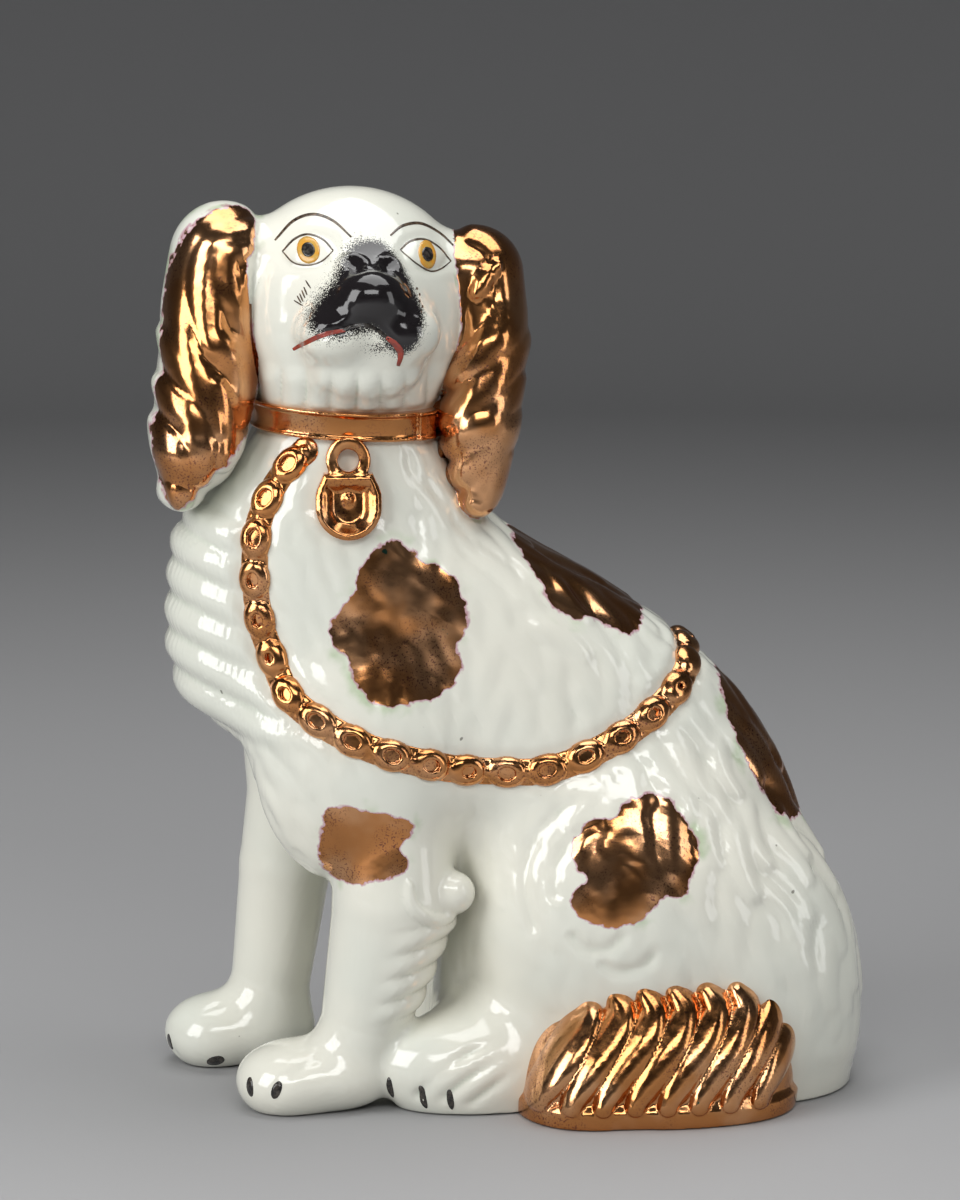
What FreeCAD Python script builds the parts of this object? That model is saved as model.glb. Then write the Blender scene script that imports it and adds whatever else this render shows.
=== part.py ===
"""Seated spaniel mantel ornament in white-glazed earthenware with copper-lustre trim.

Press-moulded and slip-joined: two half shells, a base slab with a vent hole, two separately
pressed forelegs, and the ears, collar, padlock, chain and tail that stand on the shells in relief.
Millimetres.  +Z up, the dog faces -X, its display side and its face look along -Y.
The origin is on the standing face, in the parting plane of the shells, midway along the dog.
"""
import FreeCAD, Part
import math
import os

# ---- driving dimensions -------------------------------------------------------------------
HEIGHT = 317.0           # crown of the head above the standing face
WALL = 5.0               # pressed clay wall
BASE_THICKNESS = 6.0     # slab that closes the underside
VENT_DIAMETER = 9.0      # lets steam out in the firing
SEAM_ROLL_WIDTH = 9.0    # clay roll pressed along the inside of the seam
SEAM_ROLL_DEPTH = 3.0
SEAM_ROLL_SEAT = 0.3     # slip between the roll and the wall
SEAM_ROLL_CROWN_GAP = 1.5
COLLAR_RELIEF = 3.0
COLLAR_HEIGHT = 9.5
COLLAR_FALL = 3.0        # degrees, down towards the left ear
COLLAR_CENTRE = (-59.0, 0.0, 239.0)
LINK_PITCH = 6.5         # from a link that lies flat to the next one, which stands on edge
FLAT_LINK_RADIUS = 3.6
EDGE_LINK_RADIUS = 2.6
LINK_WIRE = 1.9
PADLOCK_WIDTH = 22.5
PADLOCK_RELIEF = 5.0
PADLOCK_RIM = 3.2
PADLOCK_RECESS = 2.0
PADLOCK_EYE = (-59.5, 211.5)      # x and z of the middle of its round lower edge
SHACKLE_RADIUS = 7.0
SHACKLE_HOLE = 4.0
SHACKLE_RISE = 15.5      # of the ring's middle above the eye
EAR_DEPTH = 1.3          # depth of an ear over its width
LEVEL_STEP = 9.0         # between the level sections of the trunk
FINE_STEP = 6.0          # between those of the smaller pieces
SECTION_POINTS = 40      # points round each level section
SEARCH_STEP = 4.0        # outward march that finds the surface
SEARCH_LIMIT = 200.0
ROOM = 400.0             # side of a block that is bigger than the dog
NECK_BAND = (190.0, 258.0)        # heights between which reliefs on the neck are trimmed
BODY_CROWN_RUN = 34.0    # heights over which the level sections close up towards the top of a piece
SEAM_CROWN_RUN = 30.0
EAR_CROWN_RUN = 10.0
TAIL_CROWN_RUN = 14.0
LEAST_LINK_VOLUME = 5.0  # smaller scraps of a trimmed link are dropped

# Trunk and neck: height, front x, back x, half depth on the display side, half depth behind.
TRUNK = [
    (0, -28, 120, 46, 46),
    (20, -30, 120, 44, 44),
    (45, -28, 113, 40, 40),
    (73, -30, 105, 38, 38),
    (98, -50, 98, 41, 40),
    (118, -84, 90, 44, 43),
    (138, -112, 77, 44, 43),
    (156, -119, 60, 43, 42),
    (176, -119, 32, 42, 41),
    (198, -116, -4, 40, 38),
    (215, -104, -18, 37, 36),
    (232, -91, -27, 34, 34),
    (250, -88, -30, 32, 34),
    (276, -84, -31, 26, 30),
]
TRUNK_POWER = 2.35       # 2 is an ellipse in plan, more is squarer

# Head: its own frame is (to the viewer's right, out through the nose, up).
HEAD_CENTRE = (-57.0, -4.0, 279.5)
HEAD_TURN = 5.0
HEAD_TILT = 8.0
HEAD_FORMS = [           # centre, radii, blend radius
    ((0, -2, 1), (40, 39, 36.5), 0),
    ((0, 11, -14), (34, 27, 25), 14),
    ((1, 34, -6), (17, 18, 15), 12),
    ((-9, 40, -15), (14, 14, 11), 6),
    ((11, 40, -15), (14, 14, 11), 6),
    ((1, 49, -3), (10, 8, 8), 6),
    ((1, 33, -27), (17, 12, 9), 8),
]

# Rounded masses on both sides of the trunk (haunch, rump, hind paw, shoulder), given for the far
# side: centre, radii, turn about Z, tilt about Y, blend radius.
BODY_FORMS = [
    ((38, 30, 62), (52, 30, 56), 0, -12, 16),
    ((82, 22, 38), (36, 30, 52), 0, 0, 16),
    ((-12, 32, 10), (40, 22, 22), -12, 8, 14),
    ((-57, 30, 118), (33, 20, 40), 0, 0, 18),
]

# Limbs and ears: centre-line points with the radius at each, from top to bottom.
FORELEG_LEFT = [((-46, -28, 122), 20), ((-44, -32, 72), 21.5), ((-55, -34, 28), 15)]
FORELEG_RIGHT = [((-72, 28, 122), 19), ((-80, 28, 72), 16.5), ((-86, 28, 26), 14)]
PAWS = {"left": [((-70, -35, 11), (27, 18, 13)), ((-84, -36, 8), (13, 16, 10))],
        "right": [((-96, 28, 12), (26, 18, 13)), ((-109, 28, 9), (12, 16, 10))]}
EAR_RIGHT = [((-101, -6, 294), 16), ((-106, -12, 262), 17),
             ((-111, -20, 229), 15), ((-116, -24, 216), 8.5)]
EAR_LEFT = [((-15, -3, 286), 14.5), ((-12, -9, 264), 13.5), ((-14, -15, 236), 12), ((-15, -20, 210), 6)]
TAIL_FORMS = [((48, -42, 8), (46, 33, 43)), ((70, -36, 14), (24, 30, 40)), ((20, -46, 4), (22, 28, 30))]
LIMB_BLEND = 10.0
TAIL_BLEND = 10.0

# Chain: points close to the skin of the display side, from the collar to the ridge of the back.
CHAIN_RUN = [(-74, -32, 231), (-84, -35, 222), (-92, -38, 199), (-92, -38, 180), (-82, -43, 148),
             (-53, -48, 129), (-33, -48, 123), (-12, -48, 119), (9, -46, 120), (30, -42, 128),
             (46, -36, 138), (56, -26, 147), (59, -13, 154), (60, 0, 157)]


# ---- signed distances ---------------------------------------------------------------------
def blend(a, b, radius):
    """Smooth union of two distances."""
    if radius <= 0:
        return min(a, b)
    share = max(radius - abs(a - b), 0.0) / radius
    return min(a, b) - share * share * radius * 0.25


def turned(turn, tilt):
    """Unit axes of a form turned about Z and then tilted about its own Y."""
    a, b = math.radians(turn), math.radians(tilt)
    return ((math.cos(a) * math.cos(b), math.sin(a) * math.cos(b), -math.sin(b)),
            (-math.sin(a), math.cos(a), 0.0),
            (math.cos(a) * math.sin(b), math.sin(a) * math.sin(b), math.cos(b)))


def ellipsoid(point, centre, radii, axes):
    offset = [point[i] - centre[i] for i in range(3)]
    near, far = 0.0, 0.0
    for axis, radius in zip(axes, radii):
        along = sum(axis[i] * offset[i] for i in range(3)) / radius
        near += along * along
        far += (along / radius) ** 2
    near, far = math.sqrt(near), math.sqrt(far)
    return near * (near - 1.0) / max(far, 1e-9)


def round_cone(point, start, end, start_radius, end_radius):
    axis = [end[i] - start[i] for i in range(3)]
    offset = [point[i] - start[i] for i in range(3)]
    share = sum(a * b for a, b in zip(axis, offset)) / sum(a * a for a in axis)
    share = min(max(share, 0.0), 1.0)
    gap = math.sqrt(sum((offset[i] - share * axis[i]) ** 2 for i in range(3)))
    return gap - (start_radius + (end_radius - start_radius) * share)


def interpolate(table, z, column):
    """Smooth value of one column of a table whose first column is the height."""
    z = min(max(z, table[0][0]), table[-1][0])
    last = len(table) - 1
    row = max(i for i in range(last) if table[i][0] <= z)

    def slope(i):
        low, high = max(i - 1, 0), min(i + 1, last)
        return (table[high][column] - table[low][column]) / (table[high][0] - table[low][0])

    span = table[row + 1][0] - table[row][0]
    t = (z - table[row][0]) / span
    return ((2 * t ** 3 - 3 * t ** 2 + 1) * table[row][column]
            + (t ** 3 - 2 * t ** 2 + t) * span * slope(row)
            + (3 * t ** 2 - 2 * t ** 3) * table[row + 1][column]
            + (t ** 3 - t ** 2) * span * slope(row + 1))


def trunk(point):
    x, y, z = point
    front, back = interpolate(TRUNK, z, 1), interpolate(TRUNK, z, 2)
    depth = interpolate(TRUNK, z, 3 if y < 0 else 4)
    half = (back - front) / 2
    u, v = abs(x - (front + back) / 2) / half, abs(y) / depth
    side = ((u ** TRUNK_POWER + v ** TRUNK_POWER) ** (1 / TRUNK_POWER) - 1) * min(half, depth)
    return max(side, z - TRUNK[-1][0])


def head_frame():
    a, b = math.radians(HEAD_TURN), math.radians(HEAD_TILT)
    out = (math.sin(a), -math.cos(a), 0.0)
    right = (math.cos(a), math.sin(a), 0.0)
    nose = (out[0] * math.cos(b), out[1] * math.cos(b), math.sin(b))
    up = (-out[0] * math.sin(b), -out[1] * math.sin(b), math.cos(b))
    return right, nose, up


HEAD_AXES = head_frame()


def head_point(local):
    return tuple(HEAD_CENTRE[i] + sum(local[k] * HEAD_AXES[k][i] for k in range(3)) for i in range(3))


HEAD_PLACED = [(head_point(centre), radii, radius) for centre, radii, radius in HEAD_FORMS]
BODY_PLACED = [(centre, radii, turned(turn, tilt), radius)
               for centre, radii, turn, tilt, radius in BODY_FORMS]
PLAIN_AXES = turned(0, 0)
HEAD_BLEND = 16.0


def head(point):
    result = 1e9
    for centre, radii, radius in HEAD_PLACED:
        result = blend(result, ellipsoid(point, centre, radii, HEAD_AXES), radius)
    return result


def body(point):
    result = blend(trunk(point), head(point), HEAD_BLEND)
    mirrored = (point[0], abs(point[1]), point[2])
    for centre, radii, axes, radius in BODY_PLACED:
        result = blend(result, ellipsoid(mirrored, centre, radii, axes), radius)
    return result


def chained(line, depth=1.0):
    """Distance function of a row of round cones, stretched front to back by the depth."""
    flat = [((p[0], p[1] / depth, p[2]), radius) for p, radius in line]

    def distance(point):
        place = (point[0], point[1] / depth, point[2])
        result = 1e9
        for (start, r0), (end, r1) in zip(flat, flat[1:]):
            result = blend(result, round_cone(place, start, end, r0, r1), 1.0)
        return result
    return distance


def foreleg(line, paw):
    shank = chained(line)

    def distance(point):
        result = shank(point)
        for centre, radii in paw:
            result = blend(result, ellipsoid(point, centre, radii, PLAIN_AXES), LIMB_BLEND)
        return result
    return distance


def tail(point):
    result = 1e9
    for centre, radii in TAIL_FORMS:
        result = blend(result, ellipsoid(point, centre, radii, PLAIN_AXES), TAIL_BLEND)
    return result


# ---- solids from the distances --------------------------------------------------------------
def surface_point(distance, centre, direction, level):
    """First point along a direction where the distance passes the level."""
    def at(reach):
        return tuple(centre[i] + direction[i] * reach for i in range(3))

    outer = 0.0
    while distance(at(outer)) < level and outer < SEARCH_LIMIT:
        outer += SEARCH_STEP
    inner = max(outer - SEARCH_STEP, 0.0)
    for _ in range(12):
        middle = (inner + outer) / 2
        if distance(at(middle)) < level:
            inner = middle
        else:
            outer = middle
    return at(inner)


def level_ring(distance, centre, level):
    """Points round one level section, evenly spaced in angle."""
    ring = []
    for k in range(SECTION_POINTS):
        angle = 2 * math.pi * k / SECTION_POINTS
        direction = (math.cos(angle), math.sin(angle), 0.0)
        ring.append(FreeCAD.Vector(*surface_point(distance, centre, direction, level)))
    return ring


def level_loft(distance, centres, level=0.0):
    """Smooth solid whose control net is the level sections round the centres, bottom to top."""
    net = [level_ring(distance, centre, level) for centre in centres]
    degree = 3
    inner_knots = len(net) - degree
    skin = Part.BSplineSurface()
    skin.buildFromPolesMultsKnots(
        net, [degree + 1] + [1] * (inner_knots - 1) + [degree + 1], [1] * (SECTION_POINTS + 1),
        list(range(inner_knots + 1)), list(range(SECTION_POINTS + 1)), False, True, degree, degree)
    side = skin.toShape()
    rims = [edge for edge in side.Edges if edge.BoundBox.ZLength < 1e-6]
    caps = [Part.Face(Part.Wire([rim])) for rim in rims]
    shell = Part.Shell([side] + caps)
    shell.sewShape()
    return Part.Solid(shell)


def trunk_centre(z):
    x = (interpolate(TRUNK, z, 1) + interpolate(TRUNK, z, 2)) / 2
    if z < HEAD_CENTRE[2] - 30:
        return (x, 0.0, z)
    return (HEAD_CENTRE[0], HEAD_CENTRE[1], z)


def along(line, heights):
    """Centres on a limb's line at the given heights."""
    spine = sorted((point for point, _ in line), key=lambda point: point[2])
    centres = []
    for z in heights:
        row = max([i for i in range(len(spine) - 1) if spine[i][2] <= z] or [0])
        low, high = spine[row], spine[row + 1]
        t = min(max((z - low[2]) / (high[2] - low[2]), 0.0), 1.0)
        centres.append((low[0] + (high[0] - low[0]) * t, low[1] + (high[1] - low[1]) * t, z))
    return centres


def crowned(low, high, step, crown_run, end_gap=0.05):
    """Heights from low to high, evenly spaced and then closing up towards a rounded top."""
    count = 8
    closing = [high - end_gap - crown_run * (1 - i / count) ** 2 for i in range(1, count + 1)]
    return spaced(low, high - end_gap - crown_run, step) + closing


def spaced(low, high, step):
    count = max(int(math.ceil((high - low) / step)), 1)
    return [low + (high - low) * i / count for i in range(count + 1)]


# ---- the body and the solids that trim it ------------------------------------------------------
def body_loft(level, low, high):
    heights = crowned(low, high, LEVEL_STEP, BODY_CROWN_RUN)
    return level_loft(body, [trunk_centre(z) for z in heights], level)


def neck_loft(level):
    """Band of the neck and throat, grown by the level, that trims the reliefs on it."""
    return level_loft(body, [trunk_centre(z) for z in spaced(*NECK_BAND, FINE_STEP)], level)


def side_block(low_y, high_y):
    return Part.makeBox(ROOM, high_y - low_y, ROOM, FreeCAD.Vector(-ROOM / 2, low_y, -BASE_THICKNESS))


def biggest(shape):
    return max(shape.Solids, key=lambda solid: solid.Volume)


# ---- pieces -----------------------------------------------------------------------------------
def make_base_slab(cavity):
    slab = cavity.common(Part.makeBox(ROOM, ROOM, BASE_THICKNESS, FreeCAD.Vector(-ROOM / 2, -ROOM / 2, 0)))
    middle = (TRUNK[0][1] + TRUNK[0][2]) / 2
    vent = Part.makeCylinder(VENT_DIAMETER / 2, 4 * BASE_THICKNESS,
                             FreeCAD.Vector(middle, 0, -BASE_THICKNESS))
    return biggest(slab.cut(vent))


def seam_line(level):
    """Section of the body at the parting plane: up the back, over the crown and down the chest."""
    heights = crowned(BASE_THICKNESS, HEIGHT + level, LEVEL_STEP, SEAM_CROWN_RUN, SEAM_ROLL_CROWN_GAP)
    rows = [(trunk_centre(z)[0], 0.0, z) for z in heights]
    rear = [surface_point(body, row, (1.0, 0.0, 0.0), level) for row in rows]
    fore = [surface_point(body, row, (-1.0, 0.0, 0.0), level) for row in reversed(rows)]
    curve = Part.BSplineCurve()
    curve.interpolate([FreeCAD.Vector(*point) for point in rear + fore])
    return curve


def make_seam_roll():
    wall_side = seam_line(-WALL - SEAM_ROLL_SEAT)
    hollow_side = seam_line(-WALL - SEAM_ROLL_DEPTH)
    ends = [Part.makeLine(wall_side.EndPoint, hollow_side.EndPoint),
            Part.makeLine(hollow_side.StartPoint, wall_side.StartPoint)]
    outline = Part.Wire(Part.__sortEdges__([wall_side.toShape(), hollow_side.toShape()] + ends))
    roll = Part.Face(outline).extrude(FreeCAD.Vector(0, SEAM_ROLL_WIDTH, 0))
    roll.translate(FreeCAD.Vector(0, -SEAM_ROLL_WIDTH / 2, 0))
    return roll


def make_foreleg(line, paw, outer):
    sole = (paw[0][0][0], paw[0][0][1], 0.0)
    centres = along(line + [(sole, 0)], spaced(0, line[0][0][2] - 4, FINE_STEP))
    return biggest(level_loft(foreleg(line, paw), centres).cut(outer))


def make_ear(line, outer, collar):
    top, tip = line[0], line[-1]
    heights = crowned(tip[0][2] - tip[1] + 1.0, top[0][2] + top[1] - 0.3, FINE_STEP, EAR_CROWN_RUN)
    ear = level_loft(chained(line, EAR_DEPTH), along(line, heights))
    return biggest(ear.cut(outer).cut(collar))


def make_collar(outer):
    corner = FreeCAD.Vector(-ROOM / 2, -ROOM / 2, -COLLAR_HEIGHT / 2)
    band = Part.makeBox(ROOM, ROOM, COLLAR_HEIGHT, corner)
    band.rotate(FreeCAD.Vector(0, 0, 0), FreeCAD.Vector(0, 1, 0), COLLAR_FALL)
    band.translate(FreeCAD.Vector(*COLLAR_CENTRE))
    return biggest(neck_loft(COLLAR_RELIEF).common(band).cut(outer))


def shield(inset):
    """Prism of the padlock's plate: square shoulders above, a half circle below."""
    x, z = PADLOCK_EYE
    radius = PADLOCK_WIDTH / 2 - inset
    rise = PADLOCK_WIDTH / 2 - inset
    corners = [FreeCAD.Vector(x + side * radius, 0, z + up)
               for side, up in ((-1, 0), (-1, rise), (1, rise), (1, 0))]
    low = FreeCAD.Vector(x, 0, z - radius)
    edges = [Part.LineSegment(a, b).toShape() for a, b in zip(corners, corners[1:])]
    edges.append(Part.Arc(corners[3], low, corners[0]).toShape())
    return Part.Face(Part.Wire(edges)).extrude(FreeCAD.Vector(0, -ROOM, 0))


def disc(radius):
    x, z = PADLOCK_EYE
    middle = FreeCAD.Vector(x, 0, z + SHACKLE_RISE)
    return Part.makeCylinder(radius, ROOM, middle, FreeCAD.Vector(0, -1, 0))


def make_padlock(outer, collar):
    skin = neck_loft(PADLOCK_RELIEF)
    floor = neck_loft(PADLOCK_RELIEF - PADLOCK_RECESS)
    plate = shield(0).fuse(disc(SHACKLE_RADIUS)).cut(disc(SHACKLE_HOLE)).common(skin)
    recess = shield(PADLOCK_RIM).cut(disc(SHACKLE_RADIUS + 1)).cut(floor)
    return biggest(plate.cut(recess).cut(outer).cut(collar))


def skin_normal(point):
    step = 0.5
    slope = []
    for i in range(3):
        ahead, behind = list(point), list(point)
        ahead[i] += step
        behind[i] -= step
        slope.append((body(ahead) - body(behind)) / (2 * step))
    return FreeCAD.Vector(*slope)


def on_skin(point):
    """Point carried along the slope of the distance on to the body's skin."""
    place = FreeCAD.Vector(*point)
    for _ in range(4):
        slope = skin_normal(place)
        place = place - slope * (body(place) / slope.dot(slope))
    return place


def make_chain(outer, others):
    near_side = [FreeCAD.Vector(*point) for point in CHAIN_RUN]
    far_side = [FreeCAD.Vector(p.x, -p.y, p.z) for p in reversed(near_side[:-1])]
    curve = Part.BSplineCurve()
    curve.interpolate(near_side + far_side)
    run = curve.toShape()
    count = int(round(run.Length / LINK_PITCH))
    places = [on_skin(p) for p in run.discretize(count + 1)]
    links = []
    for i in range(1, count):
        along_run = places[i + 1] - places[i - 1]
        normal = skin_normal(places[i]).normalize()
        if i % 2:
            links.append(Part.makeTorus(FLAT_LINK_RADIUS, LINK_WIRE, places[i], normal))
        else:
            upright = normal.cross(along_run).normalize()
            links.append(Part.makeTorus(EDGE_LINK_RADIUS, LINK_WIRE, places[i], upright))
    chain = links[0].multiFuse(links[1:])
    for other in [outer] + others:
        chain = chain.cut(other)
    return Part.makeCompound([solid for solid in chain.Solids if solid.Volume > LEAST_LINK_VOLUME])


def make_tail(outer):
    centre = TAIL_FORMS[0][0]
    heights = crowned(0, centre[2] + TAIL_FORMS[0][1][2] - 1.0, FINE_STEP, TAIL_CROWN_RUN)
    return biggest(level_loft(tail, [(centre[0], centre[1], z) for z in heights]).cut(outer))


def build():
    outer = body_loft(0.0, 0.0, HEIGHT)
    cavity = body_loft(-WALL, -1.0, HEIGHT - WALL)
    shell = outer.cut(cavity)
    collar = make_collar(outer)
    nodes = {
        "shell_display_side": biggest(shell.common(side_block(-ROOM, 0))),
        "shell_back": biggest(shell.common(side_block(0, ROOM))),
        "base_slab": make_base_slab(cavity),
        "seam_roll": make_seam_roll(),
        "collar": collar,
        "padlock": make_padlock(outer, collar),
        "ear_left": make_ear(EAR_LEFT, outer, collar),
        "ear_right": make_ear(EAR_RIGHT, outer, collar),
        "foreleg_left": make_foreleg(FORELEG_LEFT, PAWS["left"], outer),
        "foreleg_right": make_foreleg(FORELEG_RIGHT, PAWS["right"], outer),
        "tail_plume": make_tail(outer),
    }
    trimmers = [nodes[name] for name in ("collar", "padlock", "ear_left", "ear_right", "foreleg_left")]
    nodes["chain"] = make_chain(outer, trimmers)
    return nodes


if __name__ == "__main__":
    os.makedirs("parts", exist_ok=True)
    for name, solid in build().items():
        solid.exportStep(os.path.join("parts", name + ".step"))
        print(name, "valid" if solid.isValid() else "NOT VALID", len(solid.Solids),
              round(solid.Volume / 1000, 2), "cm3")
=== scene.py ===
"""Looks of the seated spaniel mantel ornament: white lead glaze with copper-lustre trim.

The glazed skin is sculpted as one surface of signed distances in millimetres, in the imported
model's frame, and then parted into the pieces that it is luted together from.
"""
import math
import bmesh
import bpy
import numpy as np
import openvdb
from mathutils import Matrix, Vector, bvhtree
from mathutils.geometry import delaunay_2d_cdt


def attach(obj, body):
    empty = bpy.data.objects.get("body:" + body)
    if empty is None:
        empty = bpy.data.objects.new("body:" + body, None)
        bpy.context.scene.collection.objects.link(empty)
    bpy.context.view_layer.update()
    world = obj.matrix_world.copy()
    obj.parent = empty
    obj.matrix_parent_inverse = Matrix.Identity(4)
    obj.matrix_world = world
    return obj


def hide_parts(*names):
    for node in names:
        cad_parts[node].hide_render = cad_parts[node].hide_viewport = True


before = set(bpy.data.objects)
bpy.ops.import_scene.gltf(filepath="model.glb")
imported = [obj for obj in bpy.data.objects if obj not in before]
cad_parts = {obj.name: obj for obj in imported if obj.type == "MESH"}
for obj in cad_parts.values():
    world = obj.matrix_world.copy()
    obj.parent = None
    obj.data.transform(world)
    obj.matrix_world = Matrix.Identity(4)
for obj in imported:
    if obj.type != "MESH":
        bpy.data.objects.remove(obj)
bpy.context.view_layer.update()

MM = 0.001
RNG = np.random.default_rng(7)
GRID = 1.1      # spacing of the sculpted skin
FINE = 0.62     # spacing on the chain, the collar and the padlock
WALL = 5.1                             # clay wall seen from below
POCKET = 30.0                          # height of the hollow that the base slab closes

# ---- the form, as in the CAD part -----------------------------------------------------------
# Trunk and neck: height, front x, back x, half depth on the display side, half depth behind.
TRUNK = np.array([
    (0, -28, 120, 46, 46), (20, -30, 120, 44, 44), (45, -28, 113, 40, 40), (73, -30, 105, 38, 38),
    (98, -50, 98, 41, 40), (118, -84, 90, 44, 43), (138, -112, 77, 44, 43), (156, -119, 60, 43, 42),
    (176, -119, 32, 42, 41), (198, -116, -4, 40, 38), (215, -104, -18, 37, 36),
    (232, -91, -27, 34, 34), (250, -88, -30, 32, 34), (276, -84, -31, 26, 30)], float)
TRUNK_POWER = 2.35
HEAD_CENTRE = np.array((-57.0, -4.0, 279.5))
HEAD_TURN, HEAD_TILT = 5.0, 8.0
HEAD_FORMS = [                         # centre (right, out, up), radii, blend radius
    ((0, -2, 1), (40, 39, 36.5), 0),
    ((0, 11, -14), (34, 27, 25), 14),
    ((1, 34, -6), (17, 18, 15), 12),
    ((-9, 40, -15), (14, 14, 11), 6),
    ((11, 40, -15), (14, 14, 11), 6),
    ((1, 49, -3), (10, 8, 8), 6),
    ((1, 33, -27), (17, 12, 9), 8)]
BODY_FORMS = [                         # centre, radii, turn, tilt, blend radius; made on both sides
    ((38, 30, 62), (52, 30, 56), 0, -12, 16),
    ((82, 22, 38), (36, 30, 52), 0, 0, 16),
    ((-12, 32, 10), (40, 22, 22), -12, 8, 14),
    ((-57, 30, 118), (33, 20, 40), 0, 0, 18)]
FORELEG_LEFT = [((-46, -28, 122), 20), ((-44, -32, 72), 21.5), ((-55, -34, 28), 15)]
FORELEG_RIGHT = [((-72, 28, 122), 19), ((-80, 28, 72), 16.5), ((-86, 28, 26), 14)]
PAW_LEFT = [((-70, -35, 11), (27, 18, 13)), ((-84, -36, 8), (13, 16, 10))]
PAW_RIGHT = [((-96, 28, 12), (26, 18, 13)), ((-109, 28, 9), (12, 16, 10))]
EAR_RIGHT = [((-101, -6, 294), 16), ((-106, -12, 262), 17),
             ((-111, -20, 229), 15), ((-116, -24, 216), 8.5)]
EAR_LEFT = [((-15, -3, 286), 14.5), ((-12, -9, 264), 13.5),
            ((-14, -15, 236), 12), ((-15, -20, 210), 6)]
EAR_DEPTH = 1.3                        # depth of an ear over its width
ELBOW, ELBOW_RADIUS = (-24, -40, 76), 7.5
TAIL_FORMS = [((48, -42, 8), (46, 33, 43)), ((70, -36, 14), (24, 30, 40)), ((20, -46, 4), (22, 28, 30))]


def smooth_union(a, b, radius):
    share = np.maximum(radius - np.abs(a - b), 0.0) / radius
    return np.minimum(a, b) - share * share * radius * 0.25


def ramp(value, low, high):
    t = np.clip((value - low) / (high - low), 0.0, 1.0)
    return t * t * (3 - 2 * t)


def turned(turn, tilt):
    """Columns are the axes of a form turned about Z and tilted about its own Y."""
    a, b = math.radians(turn), math.radians(tilt)
    return np.array([(math.cos(a) * math.cos(b), -math.sin(a), math.cos(a) * math.sin(b)),
                     (math.sin(a) * math.cos(b), math.cos(a), math.sin(a) * math.sin(b)),
                     (-math.sin(b), 0.0, math.cos(b))])


def head_axes():
    """Columns: to the viewer's right, out through the nose, up."""
    a, b = math.radians(HEAD_TURN), math.radians(HEAD_TILT)
    right = np.array((math.cos(a), math.sin(a), 0.0))
    level = np.array((math.sin(a), -math.cos(a), 0.0))
    up = np.array((0.0, 0.0, 1.0))
    nose = level * math.cos(b) + up * math.sin(b)
    return np.stack([right, nose, up * math.cos(b) - level * math.sin(b)], 1)


HEAD_AXES = head_axes()


def face_point(right, out, up):
    return HEAD_CENTRE + HEAD_AXES @ np.array((right, out, up), float)


def ellipsoid(p, centre, radii, axes=None):
    d = p - np.asarray(centre, float)
    if axes is not None:
        d = d @ axes
    d = d / np.asarray(radii, float)
    near = np.sqrt((d * d).sum(-1))
    d = d / np.asarray(radii, float)
    return near * (near - 1.0) / np.maximum(np.sqrt((d * d).sum(-1)), 1e-9)


def round_cone(p, start, end, r0, r1):
    start, end = np.asarray(start, float), np.asarray(end, float)
    axis = end - start
    t = np.clip(((p - start) @ axis) / (axis @ axis), 0.0, 1.0)
    gap = p - start - t[..., None] * axis
    return np.sqrt((gap * gap).sum(-1)) - (r0 + (r1 - r0) * t)


def trunk_value(z, column):
    heights, values = TRUNK[:, 0], TRUNK[:, column]
    slope = np.empty(len(heights))
    slope[1:-1] = (values[2:] - values[:-2]) / (heights[2:] - heights[:-2])
    slope[0] = (values[1] - values[0]) / (heights[1] - heights[0])
    slope[-1] = (values[-1] - values[-2]) / (heights[-1] - heights[-2])
    i = np.clip(np.searchsorted(heights, z, side="right") - 1, 0, len(heights) - 2)
    span = heights[i + 1] - heights[i]
    t = np.clip((z - heights[i]) / span, 0.0, 1.0)
    return ((2 * t ** 3 - 3 * t ** 2 + 1) * values[i] + (t ** 3 - 2 * t ** 2 + t) * span * slope[i]
            + (3 * t ** 2 - 2 * t ** 3) * values[i + 1] + (t ** 3 - t ** 2) * span * slope[i + 1])


def trunk(p):
    z = np.clip(p[..., 2], TRUNK[0, 0], TRUNK[-1, 0])
    front, back = trunk_value(z, 1), trunk_value(z, 2)
    depth = np.where(p[..., 1] < 0, trunk_value(z, 3), trunk_value(z, 4))
    half = (back - front) / 2
    u, v = np.abs(p[..., 0] - (front + back) / 2) / half, np.abs(p[..., 1]) / depth
    side = ((u ** TRUNK_POWER + v ** TRUNK_POWER) ** (1 / TRUNK_POWER) - 1) * np.minimum(half, depth)
    return np.maximum(side, p[..., 2] - TRUNK[-1, 0])


def head(p):
    result = np.full(p.shape[:-1], 1e9)
    for centre, radii, radius in HEAD_FORMS:
        result = smooth_union(result, ellipsoid(p, face_point(*centre), radii, HEAD_AXES), max(radius, 1e-3))
    return result


def body(p):
    result = smooth_union(trunk(p), head(p), 16.0)
    mirrored = np.stack([p[..., 0], np.abs(p[..., 1]), p[..., 2]], -1)
    for centre, radii, turn, tilt, radius in BODY_FORMS:
        result = smooth_union(result, ellipsoid(mirrored, centre, radii, turned(turn, tilt)), radius)
    return result


def chained(p, line, depth=1.0):
    flat = np.array((1.0, 1.0 / depth, 1.0))
    result = np.full(p.shape[:-1], 1e9)
    for (start, r0), (end, r1) in zip(line, line[1:]):
        cone = round_cone(p * flat, np.array(start) * flat, np.array(end) * flat, r0, r1)
        result = smooth_union(result, cone, 1.0)
    return result


def foreleg(p, line, paw):
    result = chained(p, line)
    for centre, radii in paw:
        result = smooth_union(result, ellipsoid(p, centre, radii), 10.0)
    return result


def left_foreleg(p):
    return foreleg(p, FORELEG_LEFT, PAW_LEFT)


def right_foreleg(p):
    return foreleg(p, FORELEG_RIGHT, PAW_RIGHT)


def left_ear(p):
    return chained(p, EAR_LEFT, EAR_DEPTH)


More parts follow.
